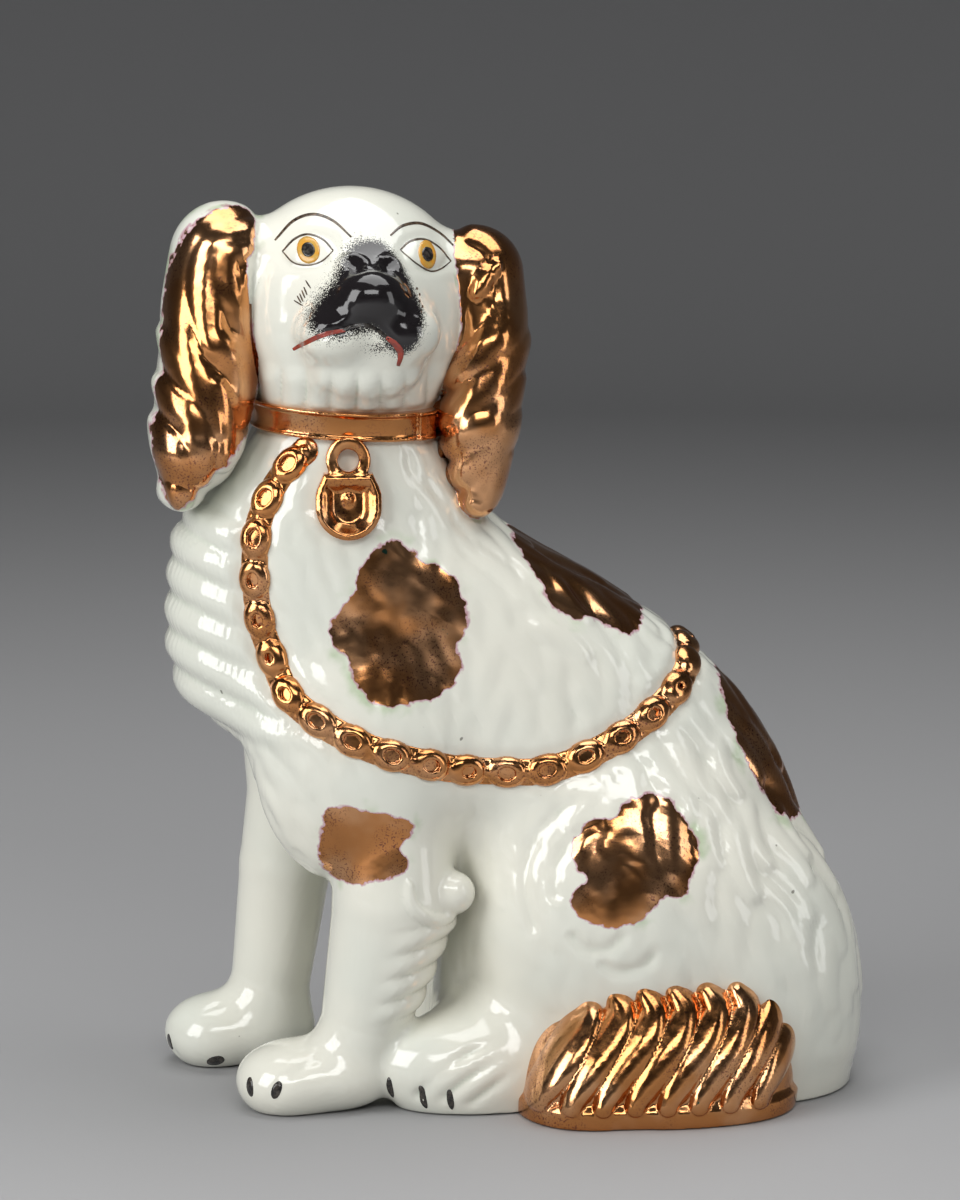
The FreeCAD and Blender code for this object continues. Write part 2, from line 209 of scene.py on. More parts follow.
def right_ear(p):
    return chained(p, EAR_RIGHT, EAR_DEPTH)


def tail(p):
    result = np.full(p.shape[:-1], 1e9)
    for centre, radii in TAIL_FORMS:
        result = smooth_union(result, ellipsoid(p, centre, radii), 10.0)
    return result


def legged_body(p):
    luting = 4.0 + 9.0 * ramp(p[..., 2], 85.0, 112.0)
    result = smooth_union(body(p), left_foreleg(p), luting)
    return smooth_union(result, right_foreleg(p), luting)


def skin(p):
    """The whole luted form: body, forelegs and ears run smoothly into each other."""
    ear_luting = 2.0 + 8.0 * ramp(p[..., 2], 275.0, 300.0)
    result = smooth_union(legged_body(p), left_ear(p), ear_luting)
    result = smooth_union(result, ellipsoid(p, ELBOW, (ELBOW_RADIUS,) * 3), 3.0)
    return smooth_union(result, right_ear(p), ear_luting)


def hollowed_skin(p):
    pocket = np.maximum(body(p) + WALL, p[..., 2] - POCKET)
    return np.maximum(np.maximum(skin(p), -pocket), -p[..., 2])


# ---- from distances to a skin of triangles -----------------------------------------------------
def near_grid(distance, low, high, step):
    """Samples of a distance on a regular grid, worked out only in the blocks near its surface."""
    block = 8
    counts = [int(math.ceil((high[k] - low[k]) / step / block)) for k in range(3)]
    centres = [low[k] + step * ((np.arange(counts[k]) + 0.5) * block - 0.5) for k in range(3)]
    coarse = distance(np.stack(np.meshgrid(*centres, indexing="ij"), -1))
    cap = 3.0 * step
    values = np.clip(coarse, -cap, cap).astype(np.float32)
    values = values.repeat(block, 0).repeat(block, 1).repeat(block, 2)
    reach = step * block * 0.87 * 1.5 + 2.0 * step
    inside = np.arange(block) * step
    local = np.stack(np.meshgrid(inside, inside, inside, indexing="ij"), -1)
    near = np.argwhere(np.abs(coarse) < reach)
    for chunk in np.array_split(near, max(len(near) // 200, 1)):
        origin = np.array(low) + chunk * (step * block)
        fine = np.clip(distance(origin[:, None, None, None, :] + local), -cap, cap)
        for (i, j, k), cube in zip(chunk * block, fine):
            values[i:i + block, j:j + block, k:k + block] = cube
    return values


def slope(distance, p, step=0.25):
    result = np.empty_like(p)
    for k in range(3):
        shift = np.zeros(3)
        shift[k] = step
        result[:, k] = (distance(p + shift) - distance(p - shift)) / (2 * step)
    return result


def settle(distance, p, rounds=3):
    """Points carried along the slope of the distance on to its surface, and the normals there."""
    p = p.copy()
    for _ in range(rounds):
        g = slope(distance, p)
        p -= g * (distance(p) / np.maximum((g * g).sum(-1), 1e-3))[:, None]
    g = slope(distance, p)
    return p, g / np.linalg.norm(g, axis=1)[:, None]


def polygonise(distance, low, high, step):
    grid = openvdb.FloatGrid(3.0 * step)
    grid.copyFromArray(near_grid(distance, low, high, step))
    points, tris, quads = grid.convertToPolygons(isovalue=0.0, adaptivity=0.0)
    tris = np.concatenate([quads[:, [0, 1, 2]], quads[:, [0, 2, 3]], tris])
    return points.astype(float) * step + np.array(low), tris.astype(int)


def vertex_normals(points, tris):
    a, b, c = points[tris[:, 0]], points[tris[:, 1]], points[tris[:, 2]]
    face = np.cross(b - a, c - a)
    total = np.zeros_like(points)
    for k in range(3):
        np.add.at(total, tris[:, k], face)
    return total / np.maximum(np.linalg.norm(total, axis=1), 1e-12)[:, None]


def smoothed(values, tris, rounds, share=0.5):
    """Values averaged with their neighbours' a few times over."""
    edges = np.concatenate([tris[:, [0, 1]], tris[:, [1, 2]], tris[:, [2, 0]]])
    count = np.bincount(edges.ravel(), minlength=len(values)).astype(float)
    for _ in range(rounds):
        total = (np.bincount(edges[:, 0], values[edges[:, 1]], len(values))
                 + np.bincount(edges[:, 1], values[edges[:, 0]], len(values)))
        values = values * (1 - share) + share * total / np.maximum(count, 1)
    return values


class Skin:
    """Triangles with values per vertex ("place" and "normal" among them) that can be parted."""

    def __init__(self, tris, values, flat=None):
        flat = np.zeros(len(tris), bool) if flat is None else flat
        sound = (tris[:, 0] != tris[:, 1]) & (tris[:, 1] != tris[:, 2]) & (tris[:, 2] != tris[:, 0])
        self.tris, self.flat, self.values = tris[sound], flat[sound], values

    def part(self, sign_value):
        """The two skins where sign_value is negative and where it is positive."""
        s = np.where(np.abs(sign_value) < 1e-6, 1e-6, sign_value)
        t = self.tris
        edges = np.sort(np.concatenate([t[:, [0, 1]], t[:, [1, 2]], t[:, [2, 0]]]), 1)
        cut = np.unique(edges[(s[edges[:, 0]] < 0) != (s[edges[:, 1]] < 0)], axis=0)
        share = s[cut[:, 0]] / (s[cut[:, 0]] - s[cut[:, 1]])
        values = {}
        for name, array in self.values.items():
            w = share[:, None] if array.ndim == 2 else share
            values[name] = np.concatenate([array, array[cut[:, 0]] * (1 - w) + array[cut[:, 1]] * w])
        crossing = {(int(a), int(b)): len(s) + i for i, (a, b) in enumerate(cut)}
        negative = (s < 0)[t].sum(1)
        tris = {True: [t[negative == 3]], False: [t[negative == 0]]}
        flat = {True: [self.flat[negative == 3]], False: [self.flat[negative == 0]]}
        for row in np.flatnonzero((negative > 0) & (negative < 3)):
            tri = t[row]
            below = [bool(s[v] < 0) for v in tri]
            lone = next(i for i in range(3) if below.count(below[i]) == 1)
            a, b, c = (int(tri[(lone + i) % 3]) for i in range(3))
            ab, ac = crossing[min(a, b), max(a, b)], crossing[min(a, c), max(a, c)]
            tris[below[lone]].append(np.array([(a, ab, ac)]))
            tris[not below[lone]].append(np.array([(ab, b, c), (ab, c, ac)]))
            flat[below[lone]].append(self.flat[[row]])
            flat[not below[lone]].append(self.flat[[row, row]])
        return [Skin(np.concatenate(tris[key]), values, np.concatenate(flat[key])).trimmed()
                for key in (True, False)]

    def trimmed(self):
        used, again = np.unique(self.tris, return_inverse=True)
        values = {name: array[used] for name, array in self.values.items()}
        return Skin(again.reshape(-1, 3), values, self.flat)

    def rim_edges(self):
        """Open edges as (from, to), in the direction that their own triangle runs."""
        t = self.tris
        edges = np.concatenate([t[:, [0, 1]], t[:, [1, 2]], t[:, [2, 0]]])
        key = edges.min(1).astype(np.int64) * len(self.values["place"]) + edges.max(1)
        _, first, count = np.unique(key, return_index=True, return_counts=True)
        return edges[first[count == 1]]

    def extended(self, tris):
        tris = np.array(tris, int).reshape(-1, 3)
        flat = np.concatenate([self.flat, np.ones(len(tris), bool)])
        return Skin(np.concatenate([self.tris, tris]), self.values, flat)

    def rim_loops(self):
        follow = {}
        for a, b in self.rim_edges():
            follow.setdefault(int(a), []).append(int(b))
        while follow:
            loop = [next(iter(follow))]
            while loop[-1] in follow:
                ahead = follow[loop[-1]]
                step = ahead.pop()
                if not ahead:
                    del follow[loop[-1]]
                if step == loop[0]:
                    break
                loop.append(step)
            yield loop

    def fanned(self, inward):
        """Each open loop closed by a fan to its middle, moved by the inward vector."""
        skin = self
        for loop in self.rim_loops():
            middle = len(skin.values["place"])
            values = {name: np.concatenate([array, array[loop].mean(0)[None]])
                      for name, array in skin.values.items()}
            values["place"][middle] += np.array(inward, float)
            skin = Skin(skin.tris, values, skin.flat)
            skin = skin.extended([(b, a, middle) for a, b in zip(loop, loop[1:] + loop[:1])])
        return skin

    def faced(self, away):
        """Open loops in the parting plane closed by flat triangles that face along Y."""
        tris = []
        for loop in self.rim_loops():
            flat = [Vector(place) for place in self.values["place"][loop][:, [0, 2]].tolist()]
            _, _, faces, came_from, _, _ = delaunay_2d_cdt(flat, [], [list(range(len(loop)))], 1, 1e-7)
            for face in faces:
                corner = [loop[came_from[vertex][0]] for vertex in face if came_from[vertex]]
                if len(corner) == 3:
                    a, b, c = self.values["place"][corner]
                    tris.append(corner if np.cross(b - a, c - a)[1] * away > 0 else corner[::-1])
        return self.extended(tris)

    def piece(self, name):
        """A Blender mesh object of it, smooth but for the closing triangles."""
        mesh = bpy.data.meshes.new(name)
        mesh.from_pydata((self.values["place"] * MM).tolist(), [], self.tris.tolist())
        for key, array in self.values.items():
            if array.ndim == 1:
                mesh.attributes.new(key, "FLOAT", "POINT").data.foreach_set("value", array)
        mesh.polygons.foreach_set("use_smooth", [True] * len(mesh.polygons))
        corner = self.values["normal"][self.tris]
        a, b, c = (self.values["place"][self.tris[:, k]] for k in range(3))
        face = np.cross(b - a, c - a)
        corner[self.flat] = face[self.flat][:, None, :]
        corner /= np.maximum(np.linalg.norm(corner, axis=2), 1e-12)[:, :, None]
        sharp = np.zeros(len(mesh.edges), bool)
        edge = np.empty(len(mesh.loops), int)
        mesh.loops.foreach_get("edge_index", edge)
        sharp[edge.reshape(-1, 3)[self.flat]] = True
        mesh.attributes.new("sharp_edge", "BOOLEAN", "EDGE").data.foreach_set("value", sharp)
        stored = mesh.attributes.new("custom_normal", "FLOAT_VECTOR", "CORNER")
        stored.data.foreach_set("vector", corner.ravel())
        return linked(name, mesh)


def linked(name, data):
    piece = bpy.data.objects.new(name, data)
    bpy.context.scene.collection.objects.link(piece)
    return piece


# ---- lines and outlines -------------------------------------------------------------------------
def curve(points, count=24, closed=False):
    """Smooth line through a few points."""
    points = np.array(points, float)
    ahead = np.concatenate([points[-1:], points, points[:2]]) if closed else np.concatenate(
        [2 * points[:1] - points[1:2], points, 2 * points[-1:] - points[-2:-1]])
    spans = len(ahead) - 3
    t = np.linspace(0, spans, count, endpoint=not closed)
    i = np.minimum(t.astype(int), spans - 1)
    t = (t - i)[:, None]
    p0, p1, p2, p3 = ahead[i], ahead[i + 1], ahead[i + 2], ahead[i + 3]
    return 0.5 * (2 * p1 + (p2 - p0) * t + (2 * p0 - 5 * p1 + 4 * p2 - p3) * t ** 2
                  + (3 * p1 - p0 - 3 * p2 + p3) * t ** 3)


def line_gap(p, line):
    """Distance to a broken line, and how far along the line the nearest point lies, in mm."""
    best = np.full(p.shape[:-1], 1e9)
    along = np.zeros(p.shape[:-1])
    run = 0.0
    for a, b in zip(line, line[1:]):
        axis = b - a
        length = np.linalg.norm(axis)
        t = np.clip(((p - a) @ axis) / length ** 2, 0, 1)
        gap = p - a - t[..., None] * axis
        gap = np.sqrt((gap * gap).sum(-1))
        nearer = gap < best
        best = np.where(nearer, gap, best)
        along = np.where(nearer, run + t * length, along)
        run += length
    return best, along


def outline_gap(flat, outline):
    """Signed distance in a plane to a closed outline, negative inside."""
    ring = np.concatenate([outline, outline[:1]])
    gap, _ = line_gap(flat, ring)
    inside = np.zeros(flat.shape[:-1], bool)
    for (ax, ay), (bx, by) in zip(ring, ring[1:]):
        crosses = (ay > flat[..., 1]) != (by > flat[..., 1])
        with np.errstate(divide="ignore", invalid="ignore"):
            x = ax + (flat[..., 1] - ay) * (bx - ax) / (by - ay)
        inside ^= crosses & (flat[..., 0] < x)
    return np.where(inside, -gap, gap)


def ridge(p, line, half, height, fine=0.75):
    """Rounded leaf-shaped lock along a line."""
    gap, along = line_gap(p, line)
    total = np.linalg.norm(np.diff(line, axis=0), axis=1).sum()
    t = along / total
    width = half * (0.25 + 0.75 * np.sin(np.pi * np.clip(0.1 + 0.8 * t, 0, 1)) ** 0.7)
    return height * np.clip(1 - (gap / width) ** 2, 0, 1) ** fine


def flat_view(p):
    return p[..., [0, 2]]


# ---- modelled hair ------------------------------------------------------------------------------
# Places on the display side that say how the hair lies around them; the far side mirrors them.
# x, z, direction (x, away from the parting plane, z), length, width and height of a lock.
COMB = np.array([
    (-88, 190, 0.3, 0.1, -1.0, 28, 9, 0.6), (-84, 140, 0.5, 0.1, -0.8, 26, 10, 1.0),
    (-60, 205, 0.0, 0.0, -1.0, 24, 8, 0.6), (-35, 200, 0.3, 0.0, -1.0, 28, 8, 0.8),
    (-45, 170, 0.0, 0.0, -1.0, 30, 9, 0.7), (-60, 150, 0.1, 0.0, -1.0, 30, 9, 0.7),
    (-20, 175, 0.3, 0.0, -1.0, 38, 13, 0.9), (10, 175, 0.7, 0.1, -0.6, 38, 13, 1.3),
    (-10, 150, 0.0, 0.0, -1.0, 40, 13, 0.9), (25, 150, 0.1, 0.0, -1.0, 40, 13, 1.0),
    (50, 155, 0.7, 0.1, -0.8, 36, 13, 1.2), (-50, 118, 0.1, 0.0, -1.0, 28, 12, 0.6),
    (0, 100, 0.3, 0.0, -1.0, 28, 12, 0.5), (30, 108, -0.3, 0.0, -1.0, 26, 11, 1.0),
    (20, 80, 0.1, 0.0, -1.0, 34, 14, 0.6), (45, 80, 0.1, 0.0, -1.0, 36, 14, 0.8),
    (70, 120, 0.5, 0.0, -1.0, 40, 14, 1.7), (85, 95, 0.3, 0.0, -1.0, 44, 15, 1.8),
    (100, 70, 0.3, 0.0, -1.0, 46, 16, 1.3), (112, 30, 0.1, 0.0, -1.0, 44, 17, 0.6),
    (75, 60, 0.2, 0.0, -1.0, 42, 15, 0.8), (-15, 60, 0.4, 0.0, -1.0, 30, 14, 0.2),
    (-10, 20, -0.8, 0.2, -0.4, 30, 10, 0.0)], float)
CHAIN_RUN = [(-74, -32, 229), (-84, -35, 222), (-90, -37, 211), (-92, -38, 199), (-92, -38, 180),
             (-89, -40, 164), (-82, -43, 148), (-70, -46, 138), (-53, -48, 129), (-33, -48, 123),
             (-12, -48, 119), (9, -46, 120), (30, -42, 128), (46, -36, 138), (56, -26, 147),
             (59, -13, 154), (60, 0, 157)]
COLLAR_CENTRE = np.array((-59.0, 0.0, 239.0))
COLLAR_ROLL, COLLAR_TILT = 0.05, 0.03       # fall of the band to the viewer's right, and to the throat
CLEAR_OF_PADLOCK = ((-59.5, 216), 17)


def combed(p):
    """Direction, length, width and height of the locks at points of the trunk."""
    side = np.where(p[:, 1] < 0, -1.0, 1.0)
    gap = (p[:, None, 0] - COMB[:, 0]) ** 2 + (p[:, None, 2] - COMB[:, 1]) ** 2
    weight = 1.0 / (gap + 30.0) ** 2
    mixed = (weight / weight.sum(1)[:, None]) @ COMB[:, 2:]
    mixed[:, 1] *= side
    return mixed[:, :3], mixed[:, 3], mixed[:, 4], mixed[:, 5]


def tuft(along, across, bend):
    """Height of one lock: rounded across, rising from its root and closing to a point."""
    across = across - bend * np.sin(along * math.pi * 0.9)
    width = 0.25 + 0.75 * np.clip(1 - along, 0, 1) ** 0.5 * np.clip(1.2 + along, 0.2, 1.0)
    return np.clip(1 - (across / width) ** 2, 0, 1) ** 0.8 * ramp(along, -1.0, 0.0) * ramp(along, 1.0, 0.8)


def lay_locks(place, normal, chosen):
    """Relief of overlapping locks laid over the chosen vertices in a seeded order."""
    spots, facing = place[chosen], normal[chosen]
    direction, length, width, height = combed(spots)
    direction -= facing * (direction * facing).sum(1)[:, None]
    direction /= np.maximum(np.linalg.norm(direction, axis=1), 1e-6)[:, None]
    sideways = np.cross(facing, direction)
    cell = 20.0
    keys = np.floor(spots / cell).astype(int)
    cells = {}
    for i, key in enumerate(map(tuple, keys)):
        cells.setdefault(key, []).append(i)
    around = [(a, b, c) for a in (-1, 0, 1) for b in (-1, 0, 1) for c in (-1, 0, 1)]
    cells = {key: np.array(rows) for key, rows in cells.items()}
    free = np.ones(len(spots), bool)
    relief = np.zeros(len(spots))
    for i in RNG.permutation(len(spots)):
        if not free[i]:
            continue
        hood = [cells[k] for k in (tuple(keys[i] + shift) for shift in around) if k in cells]
        rows = np.concatenate(hood)
        offset = spots[rows] - spots[i]
        size = RNG.uniform(0.85, 1.2)
        a = offset @ direction[i] / (length[i] / 2 * size)
        c = offset @ sideways[i] / (width[i] / 2 * size)
        same_side = facing[rows] @ facing[i] > 0.3
        bend = RNG.uniform(0.1, 0.6) * RNG.choice((-1, 1))
        lock = tuft(a, c, bend) * (same_side & (np.abs(a) < 1)) * height[i] * RNG.uniform(0.75, 1.15)
        relief[rows] = np.maximum(relief[rows], lock)
        free[rows[same_side & ((a / 0.62) ** 2 + (c / 1.25) ** 2 < 1)]] = False
    result = np.zeros(len(place))
    result[chosen] = relief
    return result


# Locks of the ears and modelling of the limbs, as lines in the front view (x, z).
RIGHT_EAR_LOCKS = [
    [(-92, 303), (-102, 301), (-107, 294), (-108, 284), (-106, 272), (-104, 264)],
    [(-92, 310), (-102, 309), (-110, 303), (-115, 293), (-117, 280), (-115, 266), (-110, 255)],
    [(-120, 268), (-116, 261), (-110, 253), (-105, 242), (-104, 236)],
    [(-122, 251), (-118, 246), (-112, 241), (-109, 232), (-110, 221)],
    [(-124, 238), (-119, 229), (-116, 221), (-116, 213)],
    [(-92, 297), (-100, 295), (-101, 287), (-96, 277)],
    [(-106, 270), (-99, 262), (-95, 252), (-96, 240)],
    [(-92, 291), (-96, 281), (-92, 271), (-90, 261), (-92, 249)],
    [(-104, 252), (-101, 243), (-99, 234), (-102, 226)]]
LEFT_EAR_LOCKS = [
    [(-17, 303), (-8, 300), (-2, 292), (1, 280), (-2, 271), (-10, 262), (-24, 253)],
    [(2, 265), (-4, 257), (-14, 247), (-25, 237)],
    [(-1, 251), (-6, 243), (-15, 236), (-23, 229)],
    [(-3, 239), (-7, 231), (-14, 225), (-20, 219)],
    [(-6, 226), (-9, 218), (-14, 210)]]
LEFT_EAR_KNOB = [(-9, 290), (-12, 286), (-15, 281)]
HAUNCH_LINES = [                       # grooves that draw the front edge of the haunch, on both sides
    [(24, 112), (10, 104), (2, 92), (0, 78), (4, 62)],
    [(30, 104), (18, 98), (11, 88), (10, 74)],
    [(36, 68), (28, 60), (20, 60), (14, 66)],
    [(46, 62), (40, 54), (31, 52), (24, 56)]]
TOE_LINES = [                          # grooves between the toes, as points on the skin
    [(4, -50, 32), (-16, -52, 24), (-31, -52, 14), (-40, -52, 4)],
    [(10, -50, 30), (-6, -54, 22), (-21, -55, 13), (-32, -55, 3)],
    [(14, -50, 26), (0, -54, 18), (-12, -55, 10), (-22, -55, 2)]]
PAW_LINES = [                          # the same on the forepaws: display side, far side
    [(-72, -40, 22), (-84, -44, 17), (-92, -43, 10), (-94, -41, 3)],
    [(-66, -44, 21), (-78, -50, 16), (-86, -50, 9), (-88, -47, 2)],
    [(-99, 20, 24), (-110, 18, 18), (-117, 19, 11), (-119, 21, 3)],
    [(-96, 30, 25), (-109, 29, 20), (-118, 29, 12), (-121, 29, 3)]]


ELBOW_RIM = [(-40, 82), (-39, 75), (-34, 70), (-28, 68), (-22, 70)]
CHEST_WAVE, LEG_RING, THROAT_RIB = 12.5, 8.2, 8.2      # spacing of what repeats
THROAT_MIDDLE = -57.0


def groove(p, line, width, depth):
    gap, along = line_gap(p, line)
    total = np.linalg.norm(np.diff(line, axis=0), axis=1).sum()
    fade = ramp(along, 0.0, 0.25 * total) * ramp(total - along, 0.0, 0.1 * total)
    return depth * np.exp(-(gap / width) ** 2) * fade


def collar_gap(p):
    """Signed distance across the collar, up from its middle."""
    d = p - COLLAR_CENTRE
    return d[..., 2] + d[..., 0] * COLLAR_ROLL - d[..., 1] * COLLAR_TILT


CHAIN_LINE = settle(legged_body, curve(CHAIN_RUN, 64), 5)[0]


def chain_gap(p):
    return line_gap(np.stack([p[..., 0], -np.abs(p[..., 1]), p[..., 2]], -1), CHAIN_LINE)


class Regions:
    """Where the points of the plain skin lie, as shares from 0 to 1 and distances in mm."""

    def __init__(self, place, normal, tris):
        self.place, self.normal, self.tris = place, normal, tris
        self.flat = flat_view(place)
        self.trunk, self.skull = body(place), head(place)
        self.near_leg, self.far_leg = left_foreleg(place), right_foreleg(place)
        self.near_ear, self.far_ear = right_ear(place), left_ear(place)
        self.on_trunk = ramp(self.trunk, 3.0, 0.5)
        self.off_legs = ramp(np.minimum(self.near_leg, self.far_leg), 0.5, 7.0)
        self.room = self.room_for_hair()

    def room_for_hair(self):
        """Nothing is modelled close to the chain, the collar and the padlock."""
        chain_room = ramp(chain_gap(self.place)[0], 4.0, 9.0)
        middle, reach = CLEAR_OF_PADLOCK
        padlock = np.linalg.norm(self.flat - middle, axis=1)
        lock_room = np.where(self.place[:, 1] < 0, ramp(padlock, reach - 5.0, reach), 1.0)
        return chain_room * lock_room * ramp(np.abs(collar_gap(self.place)), 5.0, 8.0)


def hair_relief(at):
    """Locks over the trunk and deep waves down the chest."""
    x, _, z = at.place.T
    off_ears = ramp(np.minimum(at.near_ear, at.far_ear), 0.0, 3.0)
    hairy = at.on_trunk * ramp(at.skull, 2.0, 14.0) * off_ears * at.room * ramp(z, 8.0, 18.0)
    hairy = hairy * np.maximum(at.off_legs, ramp(z, 96.0, 112.0))
    chosen = np.flatnonzero((hairy > 0.02) & (z > 6))
    locks = lay_locks(at.place, at.normal, chosen) * hairy
    chest = ramp(-at.normal[:, 0], 0.1, 0.7) * ramp(z, 124.0, 134.0) * ramp(z, 214.0, 204.0)
    waves = np.abs(np.sin(math.pi * (z + 0.4 * (x + 115)) / CHEST_WAVE)) ** 0.7
    hair = 1.5 * locks * (1 - chest) + 3.2 * waves * chest * at.room * at.on_trunk
    return smoothed(hair, at.tris, 4)


def throat_relief(at):
    x, _, z = at.place.T
    throat = ramp(z, 242.0, 246.0) * ramp(z, 260.0, 253.0) * ramp(-at.normal[:, 1], 0.2, 0.6)
    ribs = np.abs(np.sin(math.pi * (x - THROAT_MIDDLE) / THROAT_RIB)) ** 0.6
    return 1.7 * ribs * throat * at.on_trunk


def ear_relief(at, locks, ear, height, half):
    """Locks on the side of an ear that shows, and plain waves behind it."""
    x, _, z = at.place.T
    on_ear = ramp(ear, 2.0, 0.0) * ramp(np.minimum(at.trunk, at.skull), -0.5, 2.5)
    front = ramp(-at.normal[:, 1], -0.35, 0.1)
    shown = front * on_ear
    best = np.zeros(len(z))
    rows = np.flatnonzero(shown > 0.01)
    for line in locks:
        best[rows] = np.maximum(best[rows], ridge(at.flat[rows], curve(line), half, height))
    back = 1.2 * np.abs(np.sin(math.pi * (z + 0.7 * np.abs(x + 57)) / 11.0)) ** 0.8
    return smoothed(best * shown + back * on_ear * (1 - front), at.tris, 1)


def limb_relief(at):
    """Grooves of the haunches and toes, and the rings and the elbow rim of the near foreleg."""
    x, y, z = at.place.T
    mirrored = np.stack([x, -np.abs(y), z], 1)
    relief = np.zeros(len(x))
    haunch = at.on_trunk * at.off_legs * ramp(np.abs(at.normal[:, 1]), 0.1, 0.4)
    for line in HAUNCH_LINES:
        relief -= groove(at.flat, curve(line), 2.2, 1.1) * haunch
    for line in TOE_LINES:
        relief -= groove(mirrored, curve(line), 1.8, 1.4) * at.on_trunk
    for line in PAW_LINES:
        relief -= groove(at.place, curve(line), 2.0, 1.3)
    rings = 1.5 * np.abs(np.sin(math.pi * (z - 0.2 * x) / LEG_RING)) ** 0.9
    on_leg = ramp(at.near_leg, 2.0, 0.5) * ramp(at.trunk, 1.0, 4.0)
    relief += rings * on_leg * ramp(z, 28.0, 36.0) * ramp(z, 69.0, 64.0) * ramp(at.normal[:, 0], -0.1, 0.45)
    return relief + ridge(at.flat, curve(ELBOW_RIM), 2.6, 1.5) * on_leg * ramp(-at.normal[:, 1], 0.1, 0.5)


def sculpted(place, normal, tris):
    """Height of the modelling above the plain form, and how deep each point lies in a valley of it."""
    at = Regions(place, normal, tris)
    relief = hair_relief(at) + throat_relief(at)
    relief += ear_relief(at, RIGHT_EAR_LOCKS, at.near_ear, 2.6, 7.4)
    relief += ear_relief(at, LEFT_EAR_LOCKS, at.far_ear, 3.4, 9.0)
    on_far_ear = ramp(at.far_ear, 2.0, 0.0) * ramp(-normal[:, 1], 0.0, 0.3)
    relief += ridge(at.flat, curve(LEFT_EAR_KNOB), 3.5, 2.2) * on_far_ear
    relief += limb_relief(at) + face_relief(place)
    return relief, smoothed(relief, tris, 12) - relief


def face_relief(place):
    """Eyeballs, nostrils and the parting of the lips."""
    local = (place - HEAD_CENTRE) @ HEAD_AXES
    right, out, up = local.T
    front = ramp(out, 12.0, 20.0)
    relief = np.zeros(len(place))
    for centre in ((-18, 14), (22.5, 12.5)):
        gap = np.hypot((right - centre[0]) / 8.0, (up - centre[1]) / 5.5)
        ball = 0.9 * np.clip(1 - gap ** 2, 0, 1) ** 0.6
        relief += front * (ball - 0.5 * np.exp(-((gap - 1.1) / 0.25) ** 2))
    for centre in ((-4, 8), (7.5, 7.5)):
        gap = np.hypot((right - centre[0]) / 2.2, (up - centre[1]) / 1.8)
        relief -= 1.5 * front * np.exp(-gap ** 2)
        relief += 0.7 * front * np.exp(-((gap - 1.9) / 0.5) ** 2) * (up > centre[1] - 1)
    lips = curve([(-22, -18), (-12, -14), (-3, -12), (4, -15), (9, -22)])
    gap, _ = line_gap(np.stack([right, up], 1), lips)
    relief -= 1.1 * front * np.exp(-(gap / 1.3) ** 2)
    return relief


# ---- painting: lustre patches in the front view (x, z), and the black of the muzzle --------------
PATCHES = {
    "shoulder": [(-44, 199), (-37, 194), (-34, 190), (-30, 190), (-24, 185), (-20, 176), (-20, 169),
                 (-23, 163), (-22, 154), (-30, 146), (-40, 144), (-50, 144), (-57, 150), (-60, 159),
                 (-64, 162), (-66, 169), (-63, 175), (-58, 181), (-56, 188), (-51, 195)],
    "haunch": [(44, 111), (50, 109), (53, 104), (56, 100), (59, 94), (59, 89), (56, 83), (54, 78),
               (50, 78), (46, 77), (42, 73), (36, 69), (29, 68), (20, 70), (16, 75), (17, 80), (21, 84),
               (17, 88), (16, 93), (19, 99), (24, 103), (31, 104), (34, 108), (39, 110)],
    "back": [(-2, 201), (20, 198), (36, 189), (46, 178), (42, 166), (37, 163), (31, 166), (25, 169),
             (15, 171), (9, 177), (5, 184), (1, 190)],
    "rump": [(70, 152), (71, 138), (75, 124), (80, 113), (86, 104), (90, 98), (104, 96), (104, 112),
             (92, 132), (82, 152)]}
FORELEG_PATCH = [(-67, 108), (-56, 108), (-47, 106), (-40, 104), (-39, 100), (-43, 95), (-41, 90),
                 (-43, 85), (-50, 84), (-61, 81), (-67, 85), (-70, 91), (-69, 100)]
RIGHT_EAR_LUSTRE = [(-91, 309), (-101, 308), (-109, 304), (-114, 297), (-118, 287), (-120, 270),
                    (-122, 252), (-124, 230), (-123, 218), (-117, 211), (-106, 222), (-96, 235),
                    (-90, 247), (-89, 260), (-92, 272), (-94, 282), (-94, 291), (-91, 298), (-90, 306)]
MUZZLE = [(3, 16), (-3, 14), (-7, 8), (-11, 1), (-17, -6), (-19, -11), (-15, -15), (-7, -14), (0, -13),
          (4, -16), (8, -21), (13, -20), (16, -15), (17, -8), (15, -1), (12, 7), (8, 14)]


